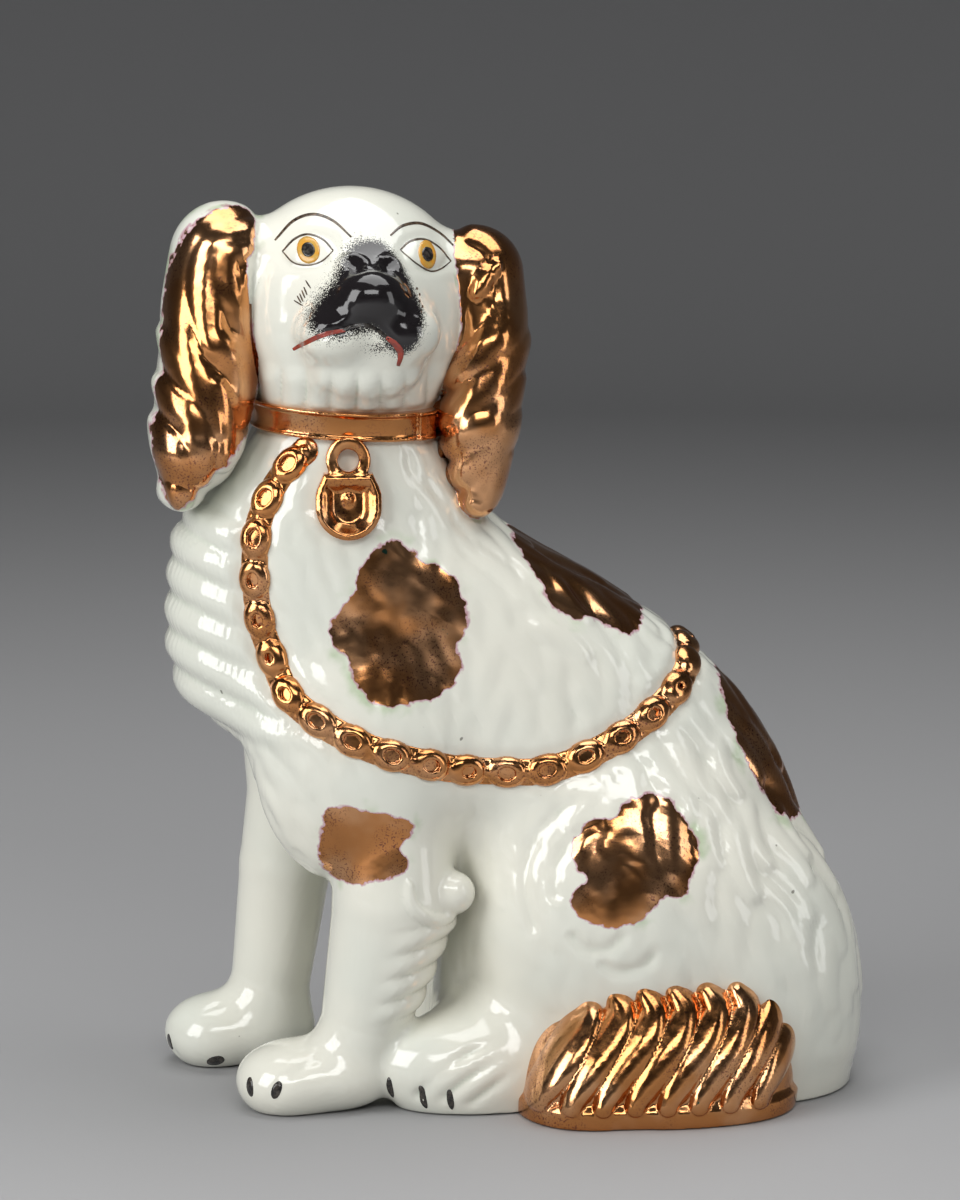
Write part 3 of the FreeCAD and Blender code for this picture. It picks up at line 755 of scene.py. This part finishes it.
def painted(place, normal):
    """Distances outward from the edge of the lustre and of the black, for the materials."""
    y, z = place[:, 1], place[:, 2]
    flat = flat_view(place)
    lustre = np.full(len(place), 20.0)
    for outline in PATCHES.values():
        lustre = np.minimum(lustre, outline_gap(flat, curve(outline, 72, True)))
    leg = outline_gap(flat, curve(FORELEG_PATCH, 60, True))
    lustre = np.minimum(lustre, np.where(y < -20, leg, 20.0))
    near_ear, far_ear = right_ear(place), left_ear(place)
    skull = np.minimum(body(place), head(place))
    front = (normal[:, 1] + 0.25) * 12.0
    near = np.maximum(outline_gap(flat, curve(RIGHT_EAR_LUSTRE, 90, True)), front)
    lustre = np.where(near_ear - skull < 3.0, np.minimum(lustre, near), lustre)
    far = np.maximum(far_ear - skull, (normal[:, 1] - 0.35) * 12.0)
    lustre = np.where(far_ear < 3.0, np.minimum(lustre, np.maximum(far, 200.0 - z)), lustre)
    local = (place - HEAD_CENTRE) @ HEAD_AXES
    muzzle = outline_gap(local[:, [0, 2]], curve(MUZZLE, 60, True))
    chin = np.hypot((local[:, 0] - 3) / 9.0, (local[:, 2] + 20) / 4.0) * 3.0 + 0.5
    muzzle = np.where((muzzle > 0) & (local[:, 0] < 0), muzzle * 0.6, muzzle)
    muzzle = np.where(local[:, 1] > 18.0, np.minimum(muzzle, chin), 20.0)
    return np.clip(lustre, -20, 20), np.clip(muzzle, -20, 20)


# ---- pieces from the skin ----------------------------------------------------------------------
points, tris = polygonise(hollowed_skin, (-130.0, -64.0, -4.0), (128.0, 64.0, 324.0), GRID)
outer = (body(points) > -WALL * 0.5) & (points[:, 2] > 0.6)
place, normal = settle(skin, points)
place = np.where(outer[:, None], place, points)
normal = np.where(outer[:, None], normal, vertex_normals(points, tris))
relief, pool = sculpted(place, normal, tris)
lustre, muzzle = painted(place, normal)
outside = ramp(body(place), -WALL * 0.5, -0.5) * ramp(place[:, 2], 0.3, 4.0)
place = place + normal * (relief * outside)[:, None]
normal = vertex_normals(place, tris)
whole = Skin(tris, {"place": place, "normal": normal, "lustre": lustre, "muzzle": muzzle, "pool": pool})
FACE_TREE = bvhtree.BVHTree.FromPolygons(whole.values["place"].tolist(), whole.tris.tolist())

pieces = {}


def split_off(remaining, name, distance, others, inward):
    p = remaining.values["place"]
    rest_of_form = np.minimum(body(p), others(p)) if others else body(p)
    own, remaining = remaining.part(distance(p) - rest_of_form)
    pieces[name] = own.fanned(inward).piece(name)
    return remaining.fanned(inward)


remaining = split_off(whole, "foreleg_left_modelled", left_foreleg, right_foreleg, (4, 16, 0))
remaining = split_off(remaining, "foreleg_right_modelled", right_foreleg, None, (4, -16, 0))
remaining = split_off(remaining, "ear_right_modelled", right_ear, None, (9, 4, 0))
remaining = split_off(remaining, "ear_left_modelled", left_ear, None, (-9, 4, 0))
display, behind = remaining.part(remaining.values["place"][:, 1])
pieces["shell_display_side_modelled"] = display.faced(1).piece("shell_display_side_modelled")
pieces["shell_back_modelled"] = behind.faced(-1).piece("shell_back_modelled")


def sdf_piece(name, distance, low, high, step):
    """A closed piece from a distance of its own."""
    points, tris = polygonise(distance, low, high, step)
    place, _ = settle(distance, points, 2)
    moved = np.linalg.norm(place - points, axis=1)
    place = np.where((moved < step)[:, None], place, points)
    place[:, 2] = np.maximum(place[:, 2], 0.0)
    pieces[name] = Skin(tris, {"place": place, "normal": vertex_normals(place, tris)}).piece(name)


TAIL_RIDGES = [curve([(x + 6, 45), (x + 9, 39), (x + 6, 31), (x - 1, 21), (x - 7, 12), (x - 9, 8)])
               for x in range(12, 100, 11)]


def tail_relief(p):
    flat = flat_view(p)
    result = np.zeros(p.shape[:-1])
    for line in TAIL_RIDGES:
        result = np.maximum(result, ridge(flat, line, 6.2, 3.6, 0.6))
    return result + 1.8 * ramp(p[..., 2], 9.0, 5.0) * (1 - result / 3.6)


def tail_distance(p):
    shape = np.maximum((tail(p) + 1.6 - tail_relief(p)) * 0.7, -(body(p) + 2.0))
    return np.maximum(shape, -p[..., 2])


LINK_PERIOD = 14.0


def chain_distance(p):
    """Flat oval links and links seen on edge, by turns, moulded on to the skin."""
    across, along = chain_gap(p)
    above = legged_body(p)
    t = (along / LINK_PERIOD) % 1.0
    flat_link = np.hypot((t - 0.5) * LINK_PERIOD / 7.4, across / 5.6)
    flat_height = 2.9 * np.clip(1 - ((flat_link - 0.74) / 0.28) ** 2, 0, 1) ** 0.6
    shifted = (t + 0.5) % 1.0
    bar = np.clip(1 - ((shifted - 0.5) * LINK_PERIOD / 4.8) ** 2 - (across / 2.5) ** 2, 0, 1)
    bar_height = 3.6 * bar ** 0.5
    base = 1.1 * np.clip(1 - (across / 4.9) ** 4, 0, 1) ** 0.5
    height = np.maximum(np.maximum(flat_height, bar_height), base)
    height = np.where(height > 0.01, height, -2.5)
    shape = np.maximum((above - height) * 0.6, -1.8 - above)
    return np.maximum(shape, across - 5.6)


def collar_distance(p):
    c = np.abs(collar_gap(p))
    above = body(p)
    height = 2.3 + 0.7 * np.exp(-((c - 4.3) / 0.6) ** 2)
    end_fold = ramp(p[..., 0], -35.5, -34.5) * ramp(p[..., 0], -28.0, -29.0) * (p[..., 1] < 0)
    height = height + 1.0 * end_fold
    return np.maximum(np.maximum(above - height, -1.8 - above), c - 5.1)


PADLOCK_EYE = (-59.5, 211.0)           # middle of the round lower end, in the front view
PADLOCK_HALF, PADLOCK_TOP = 11.2, 222.0
DISH_HALF, DISH_TOP = 7.2, 218.0
SHACKLE_EYE, SHACKLE_RADIUS, SHACKLE_WIRE = 226.5, 5.6, 2.0


def round_ended(x, z, eye, half, width, top):
    """Distance to a plate that is half a disc below its eye and straight above it."""
    return np.where(z < eye, np.hypot(x, z - eye) - half, np.maximum(np.abs(x) - width, z - top))


def padlock_distance(p):
    """Rounded lock body with a rim and a dished middle, hanging from a ring."""
    x, z = p[..., 0] - PADLOCK_EYE[0], p[..., 2]
    above = np.maximum(body(p), -3.0)
    width = PADLOCK_HALF - 3.2 * ramp(z, 214.0, 224.0)
    plate = round_ended(x, z, PADLOCK_EYE[1], PADLOCK_HALF, width, PADLOCK_TOP)
    ring = np.abs(np.hypot(x, (z - SHACKLE_EYE) * 0.95) - SHACKLE_RADIUS) - SHACKLE_WIRE
    inner = round_ended(x, z, PADLOCK_EYE[1] - 1.0, DISH_HALF, DISH_HALF, DISH_TOP)
    dish = ramp(inner, 1.0, -3.0)
    boss = np.exp(-((x / 1.9) ** 2 + ((z - 213.5) / 2.2) ** 2))
    rim = np.exp(-((plate + 1.6) / 1.1) ** 2)
    height = 4.2 + 0.9 * rim - 2.6 * dish + 1.9 * boss
    lock = np.maximum(above - height, plate)
    shackle = np.maximum(above - 4.0 - 0.6 * np.clip(1 - (ring + 2) ** 2 / 4, 0, 1), ring)
    shape = smooth_union(lock, shackle, 1.2)
    return np.maximum(np.maximum(shape, -1.8 - above), p[..., 1] + 10.0)


sdf_piece("tail_modelled", tail_distance, (-6.0, -84.0, -4.0), (104.0, -4.0, 62.0), FINE * 1.1)
sdf_piece("chain_modelled", chain_distance, (-104.0, -60.0, 108.0), (74.0, 60.0, 240.0), FINE)
sdf_piece("collar_modelled", collar_distance, (-100.0, -46.0, 226.0), (-16.0, 46.0, 254.0), FINE)
sdf_piece("padlock_modelled", padlock_distance, (-74.0, -56.0, 194.0), (-44.0, -10.0, 240.0), FINE * 0.8)


# ---- enamel painting that lies on the glaze --------------------------------------------------------
def enamel(name, rows, origin, right, up, inward, lift=0.12, closed=False):
    """Thin closed sheet of paint: rows of (right, up) places dropped inward on to the skin."""
    inward = Vector(inward.tolist())
    top, low = [], []
    for row in rows:
        for a, b in row:
            start = Vector((origin + right * a + up * b).tolist())
            hit, facing, _, _ = FACE_TREE.ray_cast(start, inward)
            if hit is None:
                hit, facing = start, -inward
            top.append(hit + facing * lift)
            low.append(hit - facing * 0.6)
    n, m = len(rows), len(rows[0])
    tris = []
    around = m if closed else m - 1
    for i in range(n - 1):
        for j in range(around):
            k = (j + 1) % m
            a, b, c, d = i * m + j, i * m + k, (i + 1) * m + k, (i + 1) * m + j
            tris += [(a, b, c), (a, c, d)]
    if closed:
        tris += [(0, k + 1, k) for k in range(1, m - 1)]
        last = (n - 1) * m
        rim = [(last + j, last + (j + 1) % m) for j in range(m)]
    else:
        last = (n - 1) * m
        rim = ([(j + 1, j) for j in range(m - 1)] + [(last + j, last + j + 1) for j in range(m - 1)]
               + [(i * m, (i + 1) * m) for i in range(n - 1)]
               + [((i + 1) * m + m - 1, i * m + m - 1) for i in range(n - 1)])
    count = len(top)
    tris = np.array(tris)
    below = tris[:, ::-1] + count
    walls = [(b, a, a + count) for a, b in rim] + [(b, a + count, b + count) for a, b in rim]
    data = bpy.data.meshes.new(name)
    verts = [list(Vector(v) * MM) for v in top + low]
    data.from_pydata(verts, [], tris.tolist() + below.tolist() + walls)
    work = bmesh.new()
    work.from_mesh(data)
    bmesh.ops.recalc_face_normals(work, faces=work.faces)
    work.to_mesh(data)
    work.free()
    piece = linked(name, data)
    pieces[name] = piece
    return piece


FACE_ORIGIN = HEAD_CENTRE + HEAD_AXES[:, 1] * 90.0


def brush(line, width, count=30, taper=0.35):
    """Rows across a painted stroke that thins towards its ends."""
    line = curve(line, count)
    ahead = np.gradient(line, axis=0)
    side = np.stack([-ahead[:, 1], ahead[:, 0]], 1) / np.linalg.norm(ahead, axis=1)[:, None]
    t = np.linspace(0, 1, count)
    half = width / 2 * (taper + (1 - taper) * np.sin(np.pi * np.clip(t * 0.9 + 0.05, 0, 1)) ** 0.6)
    return [[tuple(line[i] + side[i] * half[i] * s) for s in (1, 0.33, -0.33, -1)] for i in range(count)]


def oval(centre, radius_right, radius_up, rings=4, around=28):
    wobble = 1 + 0.012 * RNG.standard_normal(around)
    angle = np.arange(around) * 2 * math.pi / around
    return [[(centre[0] + radius_right * r * w * math.cos(a), centre[1] + radius_up * r * w * math.sin(a))
             for a, w in zip(angle, wobble)] for r in np.linspace(0.08, 1.0, rings)]


def on_face(name, rows, lift=0.12, closed=False):
    right, out, up = HEAD_AXES.T
    return enamel(name, rows, FACE_ORIGIN, right, up, -out, lift, closed)


EYES = {"right": [(-26, 14), (-22, 18), (-17.5, 19.5), (-13, 17.5), (-10, 13.5), (-14, 10), (-18.5, 8.8),
                  (-23, 10)],
        "left": [(13, 13.5), (17, 16.5), (22.5, 17.3), (28, 14.5), (32, 10), (28, 7.3), (23.5, 6.3),
                 (18, 9)]}
IRISES = {"right": ((-18, 14), 3.6, 4.7), "left": ((22.7, 12), 3.3, 4.9)}
BROWS = {"right": [(-28, 18), (-21.5, 24.5), (-15, 26.5), (-9, 24), (-3.5, 18)],
         "left": [(10, 18.5), (15, 22), (22, 23), (29, 20), (33.5, 15.5)]}
enamels = {"brown": [], "ochre": [], "black": [], "red": []}
for side, line in EYES.items():
    upper, lower = [line[i] for i in (0, 1, 2, 3, 4)], [line[i] for i in (4, 5, 6, 7, 0)]
    enamels["brown"].append(on_face(f"eyelid_{side}_upper", brush(upper, 0.75)))
    enamels["brown"].append(on_face(f"eyelid_{side}_lower", brush(lower, 0.55)))
    centre, across, high = IRISES[side]
    enamels["ochre"].append(on_face(f"iris_{side}", oval(centre, across, high, 6), 0.22, True))
    enamels["black"].append(on_face(f"pupil_{side}", oval(centre, 2.1, 2.5, 5, 20), 0.4, True))
    enamels["brown"].append(on_face(f"brow_{side}", brush(BROWS[side], 1.0)))
enamels["red"].append(on_face("mouth_right", brush([(-24, -19.5), (-20, -17), (-15, -15), (-9, -14)], 1.7)))
enamels["black"].append(on_face("mouth_middle", brush([(-10, -14), (-5, -12.5), (0, -13), (6, -17)], 1.4)))
enamels["red"].append(on_face("mouth_left", brush([(5, -16.5), (8, -19), (10, -22), (9.5, -26)], 2.0)))
WHISKERS = [[(-23.5, -3), (-21, -5)], [(-22.5, -1.5), (-21.4, -4)], [(-21.7, -0.8), (-20.8, -3.6)],
            [(-21, 0.3), (-20.2, -2.4)], [(-20.3, 1.4), (-19.5, -1.4)], [(-19.6, 3.6), (-18.3, 0.8)]]
for i, line in enumerate(WHISKERS):
    enamels["brown"].append(on_face(f"whisker_{i + 1}", brush(line, 0.45, 6)))
for i, centre in enumerate([(17.2, 0), (18, -2), (17.5, -4.4), (18.2, -6.2), (17.4, -8.2)]):
    enamels["brown"].append(on_face(f"whisker_dot_{i + 1}", oval(centre, 0.4, 0.5, 3, 10), 0.12, True))
CLAWS = {"foreleg_left_1": ((-93, -46, 10), 1.7, 3.4, 15), "foreleg_left_2": ((-85, -50, 10), 1.7, 3.2, -20),
         "foreleg_right_1": ((-120, 22, 9), 1.8, 3.0, 0), "foreleg_right_2": ((-106, 14, 5), 3.4, 2.6, 30),
         "hind_left_1": ((-47, -48, 8), 1.2, 4.4, 0), "hind_left_2": ((-37, -54, 7), 1.3, 4.2, 5),
         "hind_left_3": ((-27, -56, 6), 1.2, 3.8, 8)}
for name, (centre, across, high, lean) in CLAWS.items():
    spot, facing, _, _ = FACE_TREE.find_nearest(Vector(centre))
    facing = np.array(facing)
    upright = np.array((0.0, 0.0, 1.0)) - facing * facing[2]
    upright /= np.linalg.norm(upright)
    sideways = np.cross(upright, facing)
    a = math.radians(lean)
    right = sideways * math.cos(a) + upright * math.sin(a)
    up = upright * math.cos(a) - sideways * math.sin(a)
    enamels["black"].append(enamel("claw_" + name, oval((0, 0), across, high, 3, 16),
                                   np.array(spot) + facing * 12.0, right, up, -facing, 0.12, True))


# ---- materials -----------------------------------------------------------------------------------
class Paint:
    """Small helper for building one procedural material."""

    def __init__(self, name):
        self.material = bpy.data.materials.new(name)
        self.material.use_nodes = True
        self.tree = self.material.node_tree
        self.shader = self.tree.nodes["Principled BSDF"]
        self.coords = self.tree.nodes.new("ShaderNodeTexCoord").outputs["Object"]

    def put(self, socket, value):
        if isinstance(value, bpy.types.NodeSocket):
            self.tree.links.new(value, socket)
        else:
            socket.default_value = value

    def set(self, **inputs):
        for name, value in inputs.items():
            self.put(self.shader.inputs[name.replace("_", " ")], value)
        return self

    def math(self, operation, *values):
        node = self.tree.nodes.new("ShaderNodeMath")
        node.operation = operation
        for socket, value in zip(node.inputs, values):
            self.put(socket, value)
        return node.outputs[0]

    def range(self, value, low, high, out_low=0.0, out_high=1.0):
        node = self.tree.nodes.new("ShaderNodeMapRange")
        node.interpolation_type = "SMOOTHSTEP"
        for name, item in (("Value", value), ("From Min", low), ("From Max", high),
                           ("To Min", out_low), ("To Max", out_high)):
            self.put(node.inputs[name], item)
        return node.outputs[0]

    def mix(self, share, a, b):
        node = self.tree.nodes.new("ShaderNodeMix")
        node.data_type = "RGBA"
        self.put(node.inputs["Factor"], share)
        self.put(node.inputs["A"], a)
        self.put(node.inputs["B"], b)
        return next(out for out in node.outputs if out.type == "RGBA")

    def noise(self, scale, detail=2.0, roughness=0.5, stretch=None):
        node = self.tree.nodes.new("ShaderNodeTexNoise")
        vector = self.coords
        if stretch:
            mapping = self.tree.nodes.new("ShaderNodeMapping")
            mapping.inputs["Scale"].default_value = stretch
            self.put(mapping.inputs["Vector"], vector)
            vector = mapping.outputs[0]
        for name, item in (("Vector", vector), ("Scale", scale), ("Detail", detail),
                           ("Roughness", roughness)):
            self.put(node.inputs[name], item)
        return node.outputs["Fac"]

    def value(self, name):
        node = self.tree.nodes.new("ShaderNodeAttribute")
        node.attribute_name = name
        return node.outputs["Fac"]

    def bump(self, height, strength, distance):
        node = self.tree.nodes.new("ShaderNodeBump")
        self.put(node.inputs["Height"], height)
        node.inputs["Strength"].default_value = strength
        node.inputs["Distance"].default_value = distance
        self.put(self.shader.inputs["Normal"], node.outputs[0])
        return self


WHITE = (0.84, 0.83, 0.73, 1.0)
COOL_WHITE = (0.77, 0.785, 0.70, 1.0)
POOLED = (0.44, 0.53, 0.40, 1.0)
STAIN = (0.46, 0.58, 0.36, 1.0)
COPPER = (0.62, 0.265, 0.09, 1.0)
PALE_COPPER = (0.74, 0.39, 0.19, 1.0)
SPECKLE = (0.16, 0.045, 0.05, 1.0)
TEAL = (0.05, 0.17, 0.12, 1.0)
HALO = (0.50, 0.20, 0.30, 1.0)
BLACK = (0.012, 0.010, 0.011, 1.0)


def copper_colour(paint):
    wide = paint.noise(45.0, 3.0)
    colour = paint.mix(paint.range(wide, 0.42, 0.62), COPPER, PALE_COPPER)
    dense = paint.range(paint.noise(60.0, 2.0), 0.40, 0.62)
    dots = paint.math("MULTIPLY", paint.range(paint.noise(1500.0, 1.0), 0.57, 0.64), dense)
    colour = paint.mix(paint.math("MULTIPLY", dots, 0.75), colour, SPECKLE)
    rare = paint.range(paint.noise(130.0, 3.0, 0.6), 0.735, 0.765)
    return paint.mix(rare, colour, TEAL)


def glaze_paint(name):
    """White lead glaze; lustre where the stored distance is negative, black on the muzzle."""
    paint = Paint(name)
    wide = paint.noise(16.0, 3.0)
    white = paint.mix(paint.range(wide, 0.35, 0.65), WHITE, COOL_WHITE)
    pool = paint.range(paint.value("pool"), 0.15, 1.1)
    white = paint.mix(paint.math("MULTIPLY", pool, 0.55), white, POOLED)
    rare = paint.range(paint.noise(210.0, 1.0), 0.80, 0.82)
    white = paint.mix(paint.math("MULTIPLY", rare, 0.7), white, (0.08, 0.07, 0.05, 1.0))
    distance = paint.math("ADD", paint.value("lustre"),
                          paint.range(paint.noise(260.0, 3.0), 0.3, 0.7, -0.7, 0.7))
    stained = paint.math("MULTIPLY", paint.range(distance, 5.0, 0.5),
                         paint.range(paint.noise(70.0, 2.0), 0.50, 0.68))
    white = paint.mix(paint.math("MULTIPLY", stained, 0.8), white, STAIN)
    white = paint.mix(paint.range(distance, 0.9, 0.1, 0.0, 0.75), white, HALO)
    muzzle = paint.value("muzzle")
    grain = paint.noise(2400.0, 2.0, 0.6)
    threshold = paint.range(muzzle, -3.0, 4.5, 0.18, 0.74)
    stipple = paint.range(paint.math("SUBTRACT", grain, threshold), -0.03, 0.03)
    solid = paint.range(muzzle, -1.0, -3.0)
    black = paint.math("MAXIMUM", paint.math("MULTIPLY", stipple, paint.range(muzzle, 6.0, 3.0)), solid)
    base = paint.mix(black, white, BLACK)
    lustred = paint.range(distance, 0.12, -0.12)
    base = paint.mix(lustred, base, copper_colour(paint))
    roughness = paint.range(lustred, 0.0, 1.0, 0.10, 0.16)
    paint.set(Base_Color=base, Metallic=lustred, Roughness=roughness, IOR=1.52,
              Coat_Weight=0.25, Coat_Roughness=0.04)
    paint.bump(paint.noise(120.0, 2.0), 0.25, 0.0006)
    return paint.material


def lustre_paint(name):
    paint = Paint(name)
    roughness = paint.range(paint.noise(300.0, 3.0), 0.3, 0.7, 0.11, 0.22)
    paint.set(Base_Color=copper_colour(paint), Metallic=1.0, Roughness=roughness)
    paint.bump(paint.noise(160.0, 2.0), 0.35, 0.0006)
    return paint.material


def enamel_paint(name, colour, second, scale):
    paint = Paint(name)
    worn = paint.range(paint.noise(scale, 3.0, 0.6), 0.35, 0.7)
    paint.set(Base_Color=paint.mix(worn, colour, second), Roughness=0.22,
              Coat_Weight=0.3, Coat_Roughness=0.08)
    return paint.material


def clay_paint(name):
    paint = Paint(name)
    tone = paint.mix(paint.noise(40.0, 5.0, 0.6), (0.72, 0.62, 0.47, 1.0), (0.55, 0.45, 0.33, 1.0))
    spots = paint.range(paint.noise(500.0, 2.0), 0.62, 0.7)
    paint.set(Base_Color=paint.mix(spots, tone, (0.25, 0.18, 0.12, 1.0)), Roughness=0.85)
    paint.bump(paint.noise(700.0, 3.0), 0.4, 0.0004)
    return paint.material


GLAZE = glaze_paint("white_glaze_with_lustre_patches")
LUSTRE = lustre_paint("copper_lustre")
CLAY = clay_paint("bare_earthenware")
ENAMELS = {"brown": enamel_paint("brown_enamel", (0.035, 0.022, 0.015, 1.0), (0.16, 0.11, 0.07, 1.0), 700.0),
           "ochre": enamel_paint("ochre_enamel", (0.72, 0.33, 0.035, 1.0), (0.60, 0.38, 0.09, 1.0), 400.0),
           "black": enamel_paint("black_enamel", (0.010, 0.009, 0.009, 1.0), (0.07, 0.06, 0.05, 1.0), 600.0),
           "red": enamel_paint("iron_red_enamel", (0.36, 0.045, 0.025, 1.0), (0.20, 0.05, 0.04, 1.0), 500.0)}

STANDS_FOR = {"shell_display_side_modelled": ("shell_display_side", "white_glaze", GLAZE),
              "shell_back_modelled": ("shell_back", "white_glaze", GLAZE),
              "foreleg_left_modelled": ("foreleg_left", "white_glaze", GLAZE),
              "foreleg_right_modelled": ("foreleg_right", "white_glaze", GLAZE),
              "ear_left_modelled": ("ear_left", "copper_lustre", GLAZE),
              "ear_right_modelled": ("ear_right", "copper_lustre", GLAZE),
              "tail_modelled": ("tail_plume", "copper_lustre", LUSTRE),
              "chain_modelled": ("chain", "copper_lustre", LUSTRE),
              "collar_modelled": ("collar", "copper_lustre", LUSTRE),
              "padlock_modelled": ("padlock", "copper_lustre", LUSTRE)}
for name, (node, slot, material) in STANDS_FOR.items():
    pieces[name].data.materials.append(material)
    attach(pieces[name], "root")
    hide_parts(node)
for colour, painted_pieces in enamels.items():
    for piece in painted_pieces:
        piece.data.materials.append(ENAMELS[colour])
        piece.data.polygons.foreach_set("use_smooth", [True] * len(piece.data.polygons))
        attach(piece, "root")
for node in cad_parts.values():
    node.data.materials.clear()
    node.data.materials.append(CLAY)


# ---- studio ----------------------------------------------------------------------------------------
def paper_paint_with_painted_shade(name):
    """Pale paper with painted shade: its colour is made darker away from the front and up the sweep, where
    less light falls.
    """
    paint = Paint(name)
    split = paint.tree.nodes.new("ShaderNodeSeparateXYZ")
    paint.put(split.inputs[0], paint.coords)
    # painted shade: the floor colour darkens towards the back, in place of the light falling off
    behind = paint.range(split.outputs["Y"], -0.7, 0.1)
    floor = paint.mix(behind, (0.62, 0.62, 0.625, 1.0), (0.36, 0.36, 0.365, 1.0))
    # painted shade: darker again as the paper sweeps up into the wall
    tone = paint.mix(paint.range(split.outputs["Z"], 0.0, 0.8), floor, (0.24, 0.24, 0.245, 1.0))
    fibres = paint.math("MULTIPLY", paint.noise(3.0, 3.0), 0.08)
    paint.set(Base_Color=paint.mix(fibres, tone, (0.3, 0.3, 0.3, 1.0)), Roughness=0.8,
              Specular_IOR_Level=0.1)
    return paint.material


FLOOR_REACH, COVE, WALL_TOP = 1.9, 1.1, 3.0     # flat floor radius, cove radius and height, in metres


def sweep(name, material):
    """Paper floor that runs up into a wall in one curve, the same all round the figure."""
    angles = np.linspace(0.0, math.pi / 2, 24)
    profile = [(FLOOR_REACH + COVE * math.sin(a), COVE - COVE * math.cos(a)) for a in angles]
    profile.append((FLOOR_REACH + COVE, WALL_TOP))
    turns = np.linspace(0.0, 2 * math.pi, 96, endpoint=False)
    verts = [(r * math.cos(t), r * math.sin(t), z - 0.0004) for r, z in profile for t in turns]
    faces = [tuple(range(len(turns)))]
    for ring in range(len(profile) - 1):
        for i in range(len(turns)):
            a, b = ring * len(turns) + i, ring * len(turns) + (i + 1) % len(turns)
            faces.append((a, a + len(turns), b + len(turns), b))
    data = bpy.data.meshes.new(name)
    data.from_pydata(verts, [], faces)
    data.polygons.foreach_set("use_smooth", [True] * len(faces))
    data.materials.append(material)
    linked(name, data)


sweep("paper_sweep", paper_paint_with_painted_shade("grey_paper_with_painted_shade"))


def softbox(name, place, aim, width, height, power):
    light = bpy.data.lights.new(name, "AREA")
    light.shape = "RECTANGLE"
    light.size, light.size_y = width, height
    light.energy = power
    piece = linked(name, light)
    piece.location = place
    piece.rotation_euler = (Vector(aim) - Vector(place)).to_track_quat("-Z", "Y").to_euler()


AIM = (0.0, 0.0, 0.15)
SOFTBOXES = {                          # place, width and height in metres, power in watts
    "key_left": ((-1.3, -0.8, 0.8), 0.9, 1.1, 17.0),
    "fill_right": ((1.3, -0.8, 0.5), 0.4, 1.1, 3.0),
    "top": ((0.1, 0.1, 1.4), 1.3, 1.0, 13.0),
    "front": ((0.0, -2.0, 1.5), 1.6, 0.6, 16.0)}
for name, (place, width, height, power) in SOFTBOXES.items():
    softbox(name, place, AIM, width, height, power)

world = bpy.context.scene.world or bpy.data.worlds.new("studio")
bpy.context.scene.world = world
world.use_nodes = True
world.node_tree.nodes["Background"].inputs["Color"].default_value = (0.9, 0.95, 1.0, 1.0)
world.node_tree.nodes["Background"].inputs["Strength"].default_value = 0.045
bpy.context.scene.view_settings.view_transform = "Standard"

CAMERA_TARGET = Vector((-0.012, 0.0, 0.1715))
CAMERA_TURN, CAMERA_RISE, CAMERA_AWAY = math.radians(-4.0), math.radians(9.5), 1.6
lens = bpy.data.cameras.new("camera")
lens.lens, lens.sensor_width, lens.sensor_fit = 137.04, 36.0, "AUTO"
camera = linked("camera", lens)
back = Vector((math.sin(CAMERA_TURN) * math.cos(CAMERA_RISE), -math.cos(CAMERA_TURN) * math.cos(CAMERA_RISE),
               math.sin(CAMERA_RISE)))
camera.location = CAMERA_TARGET + back * CAMERA_AWAY
camera.rotation_euler = back.to_track_quat("Z", "Y").to_euler()
bpy.context.scene.camera = camera
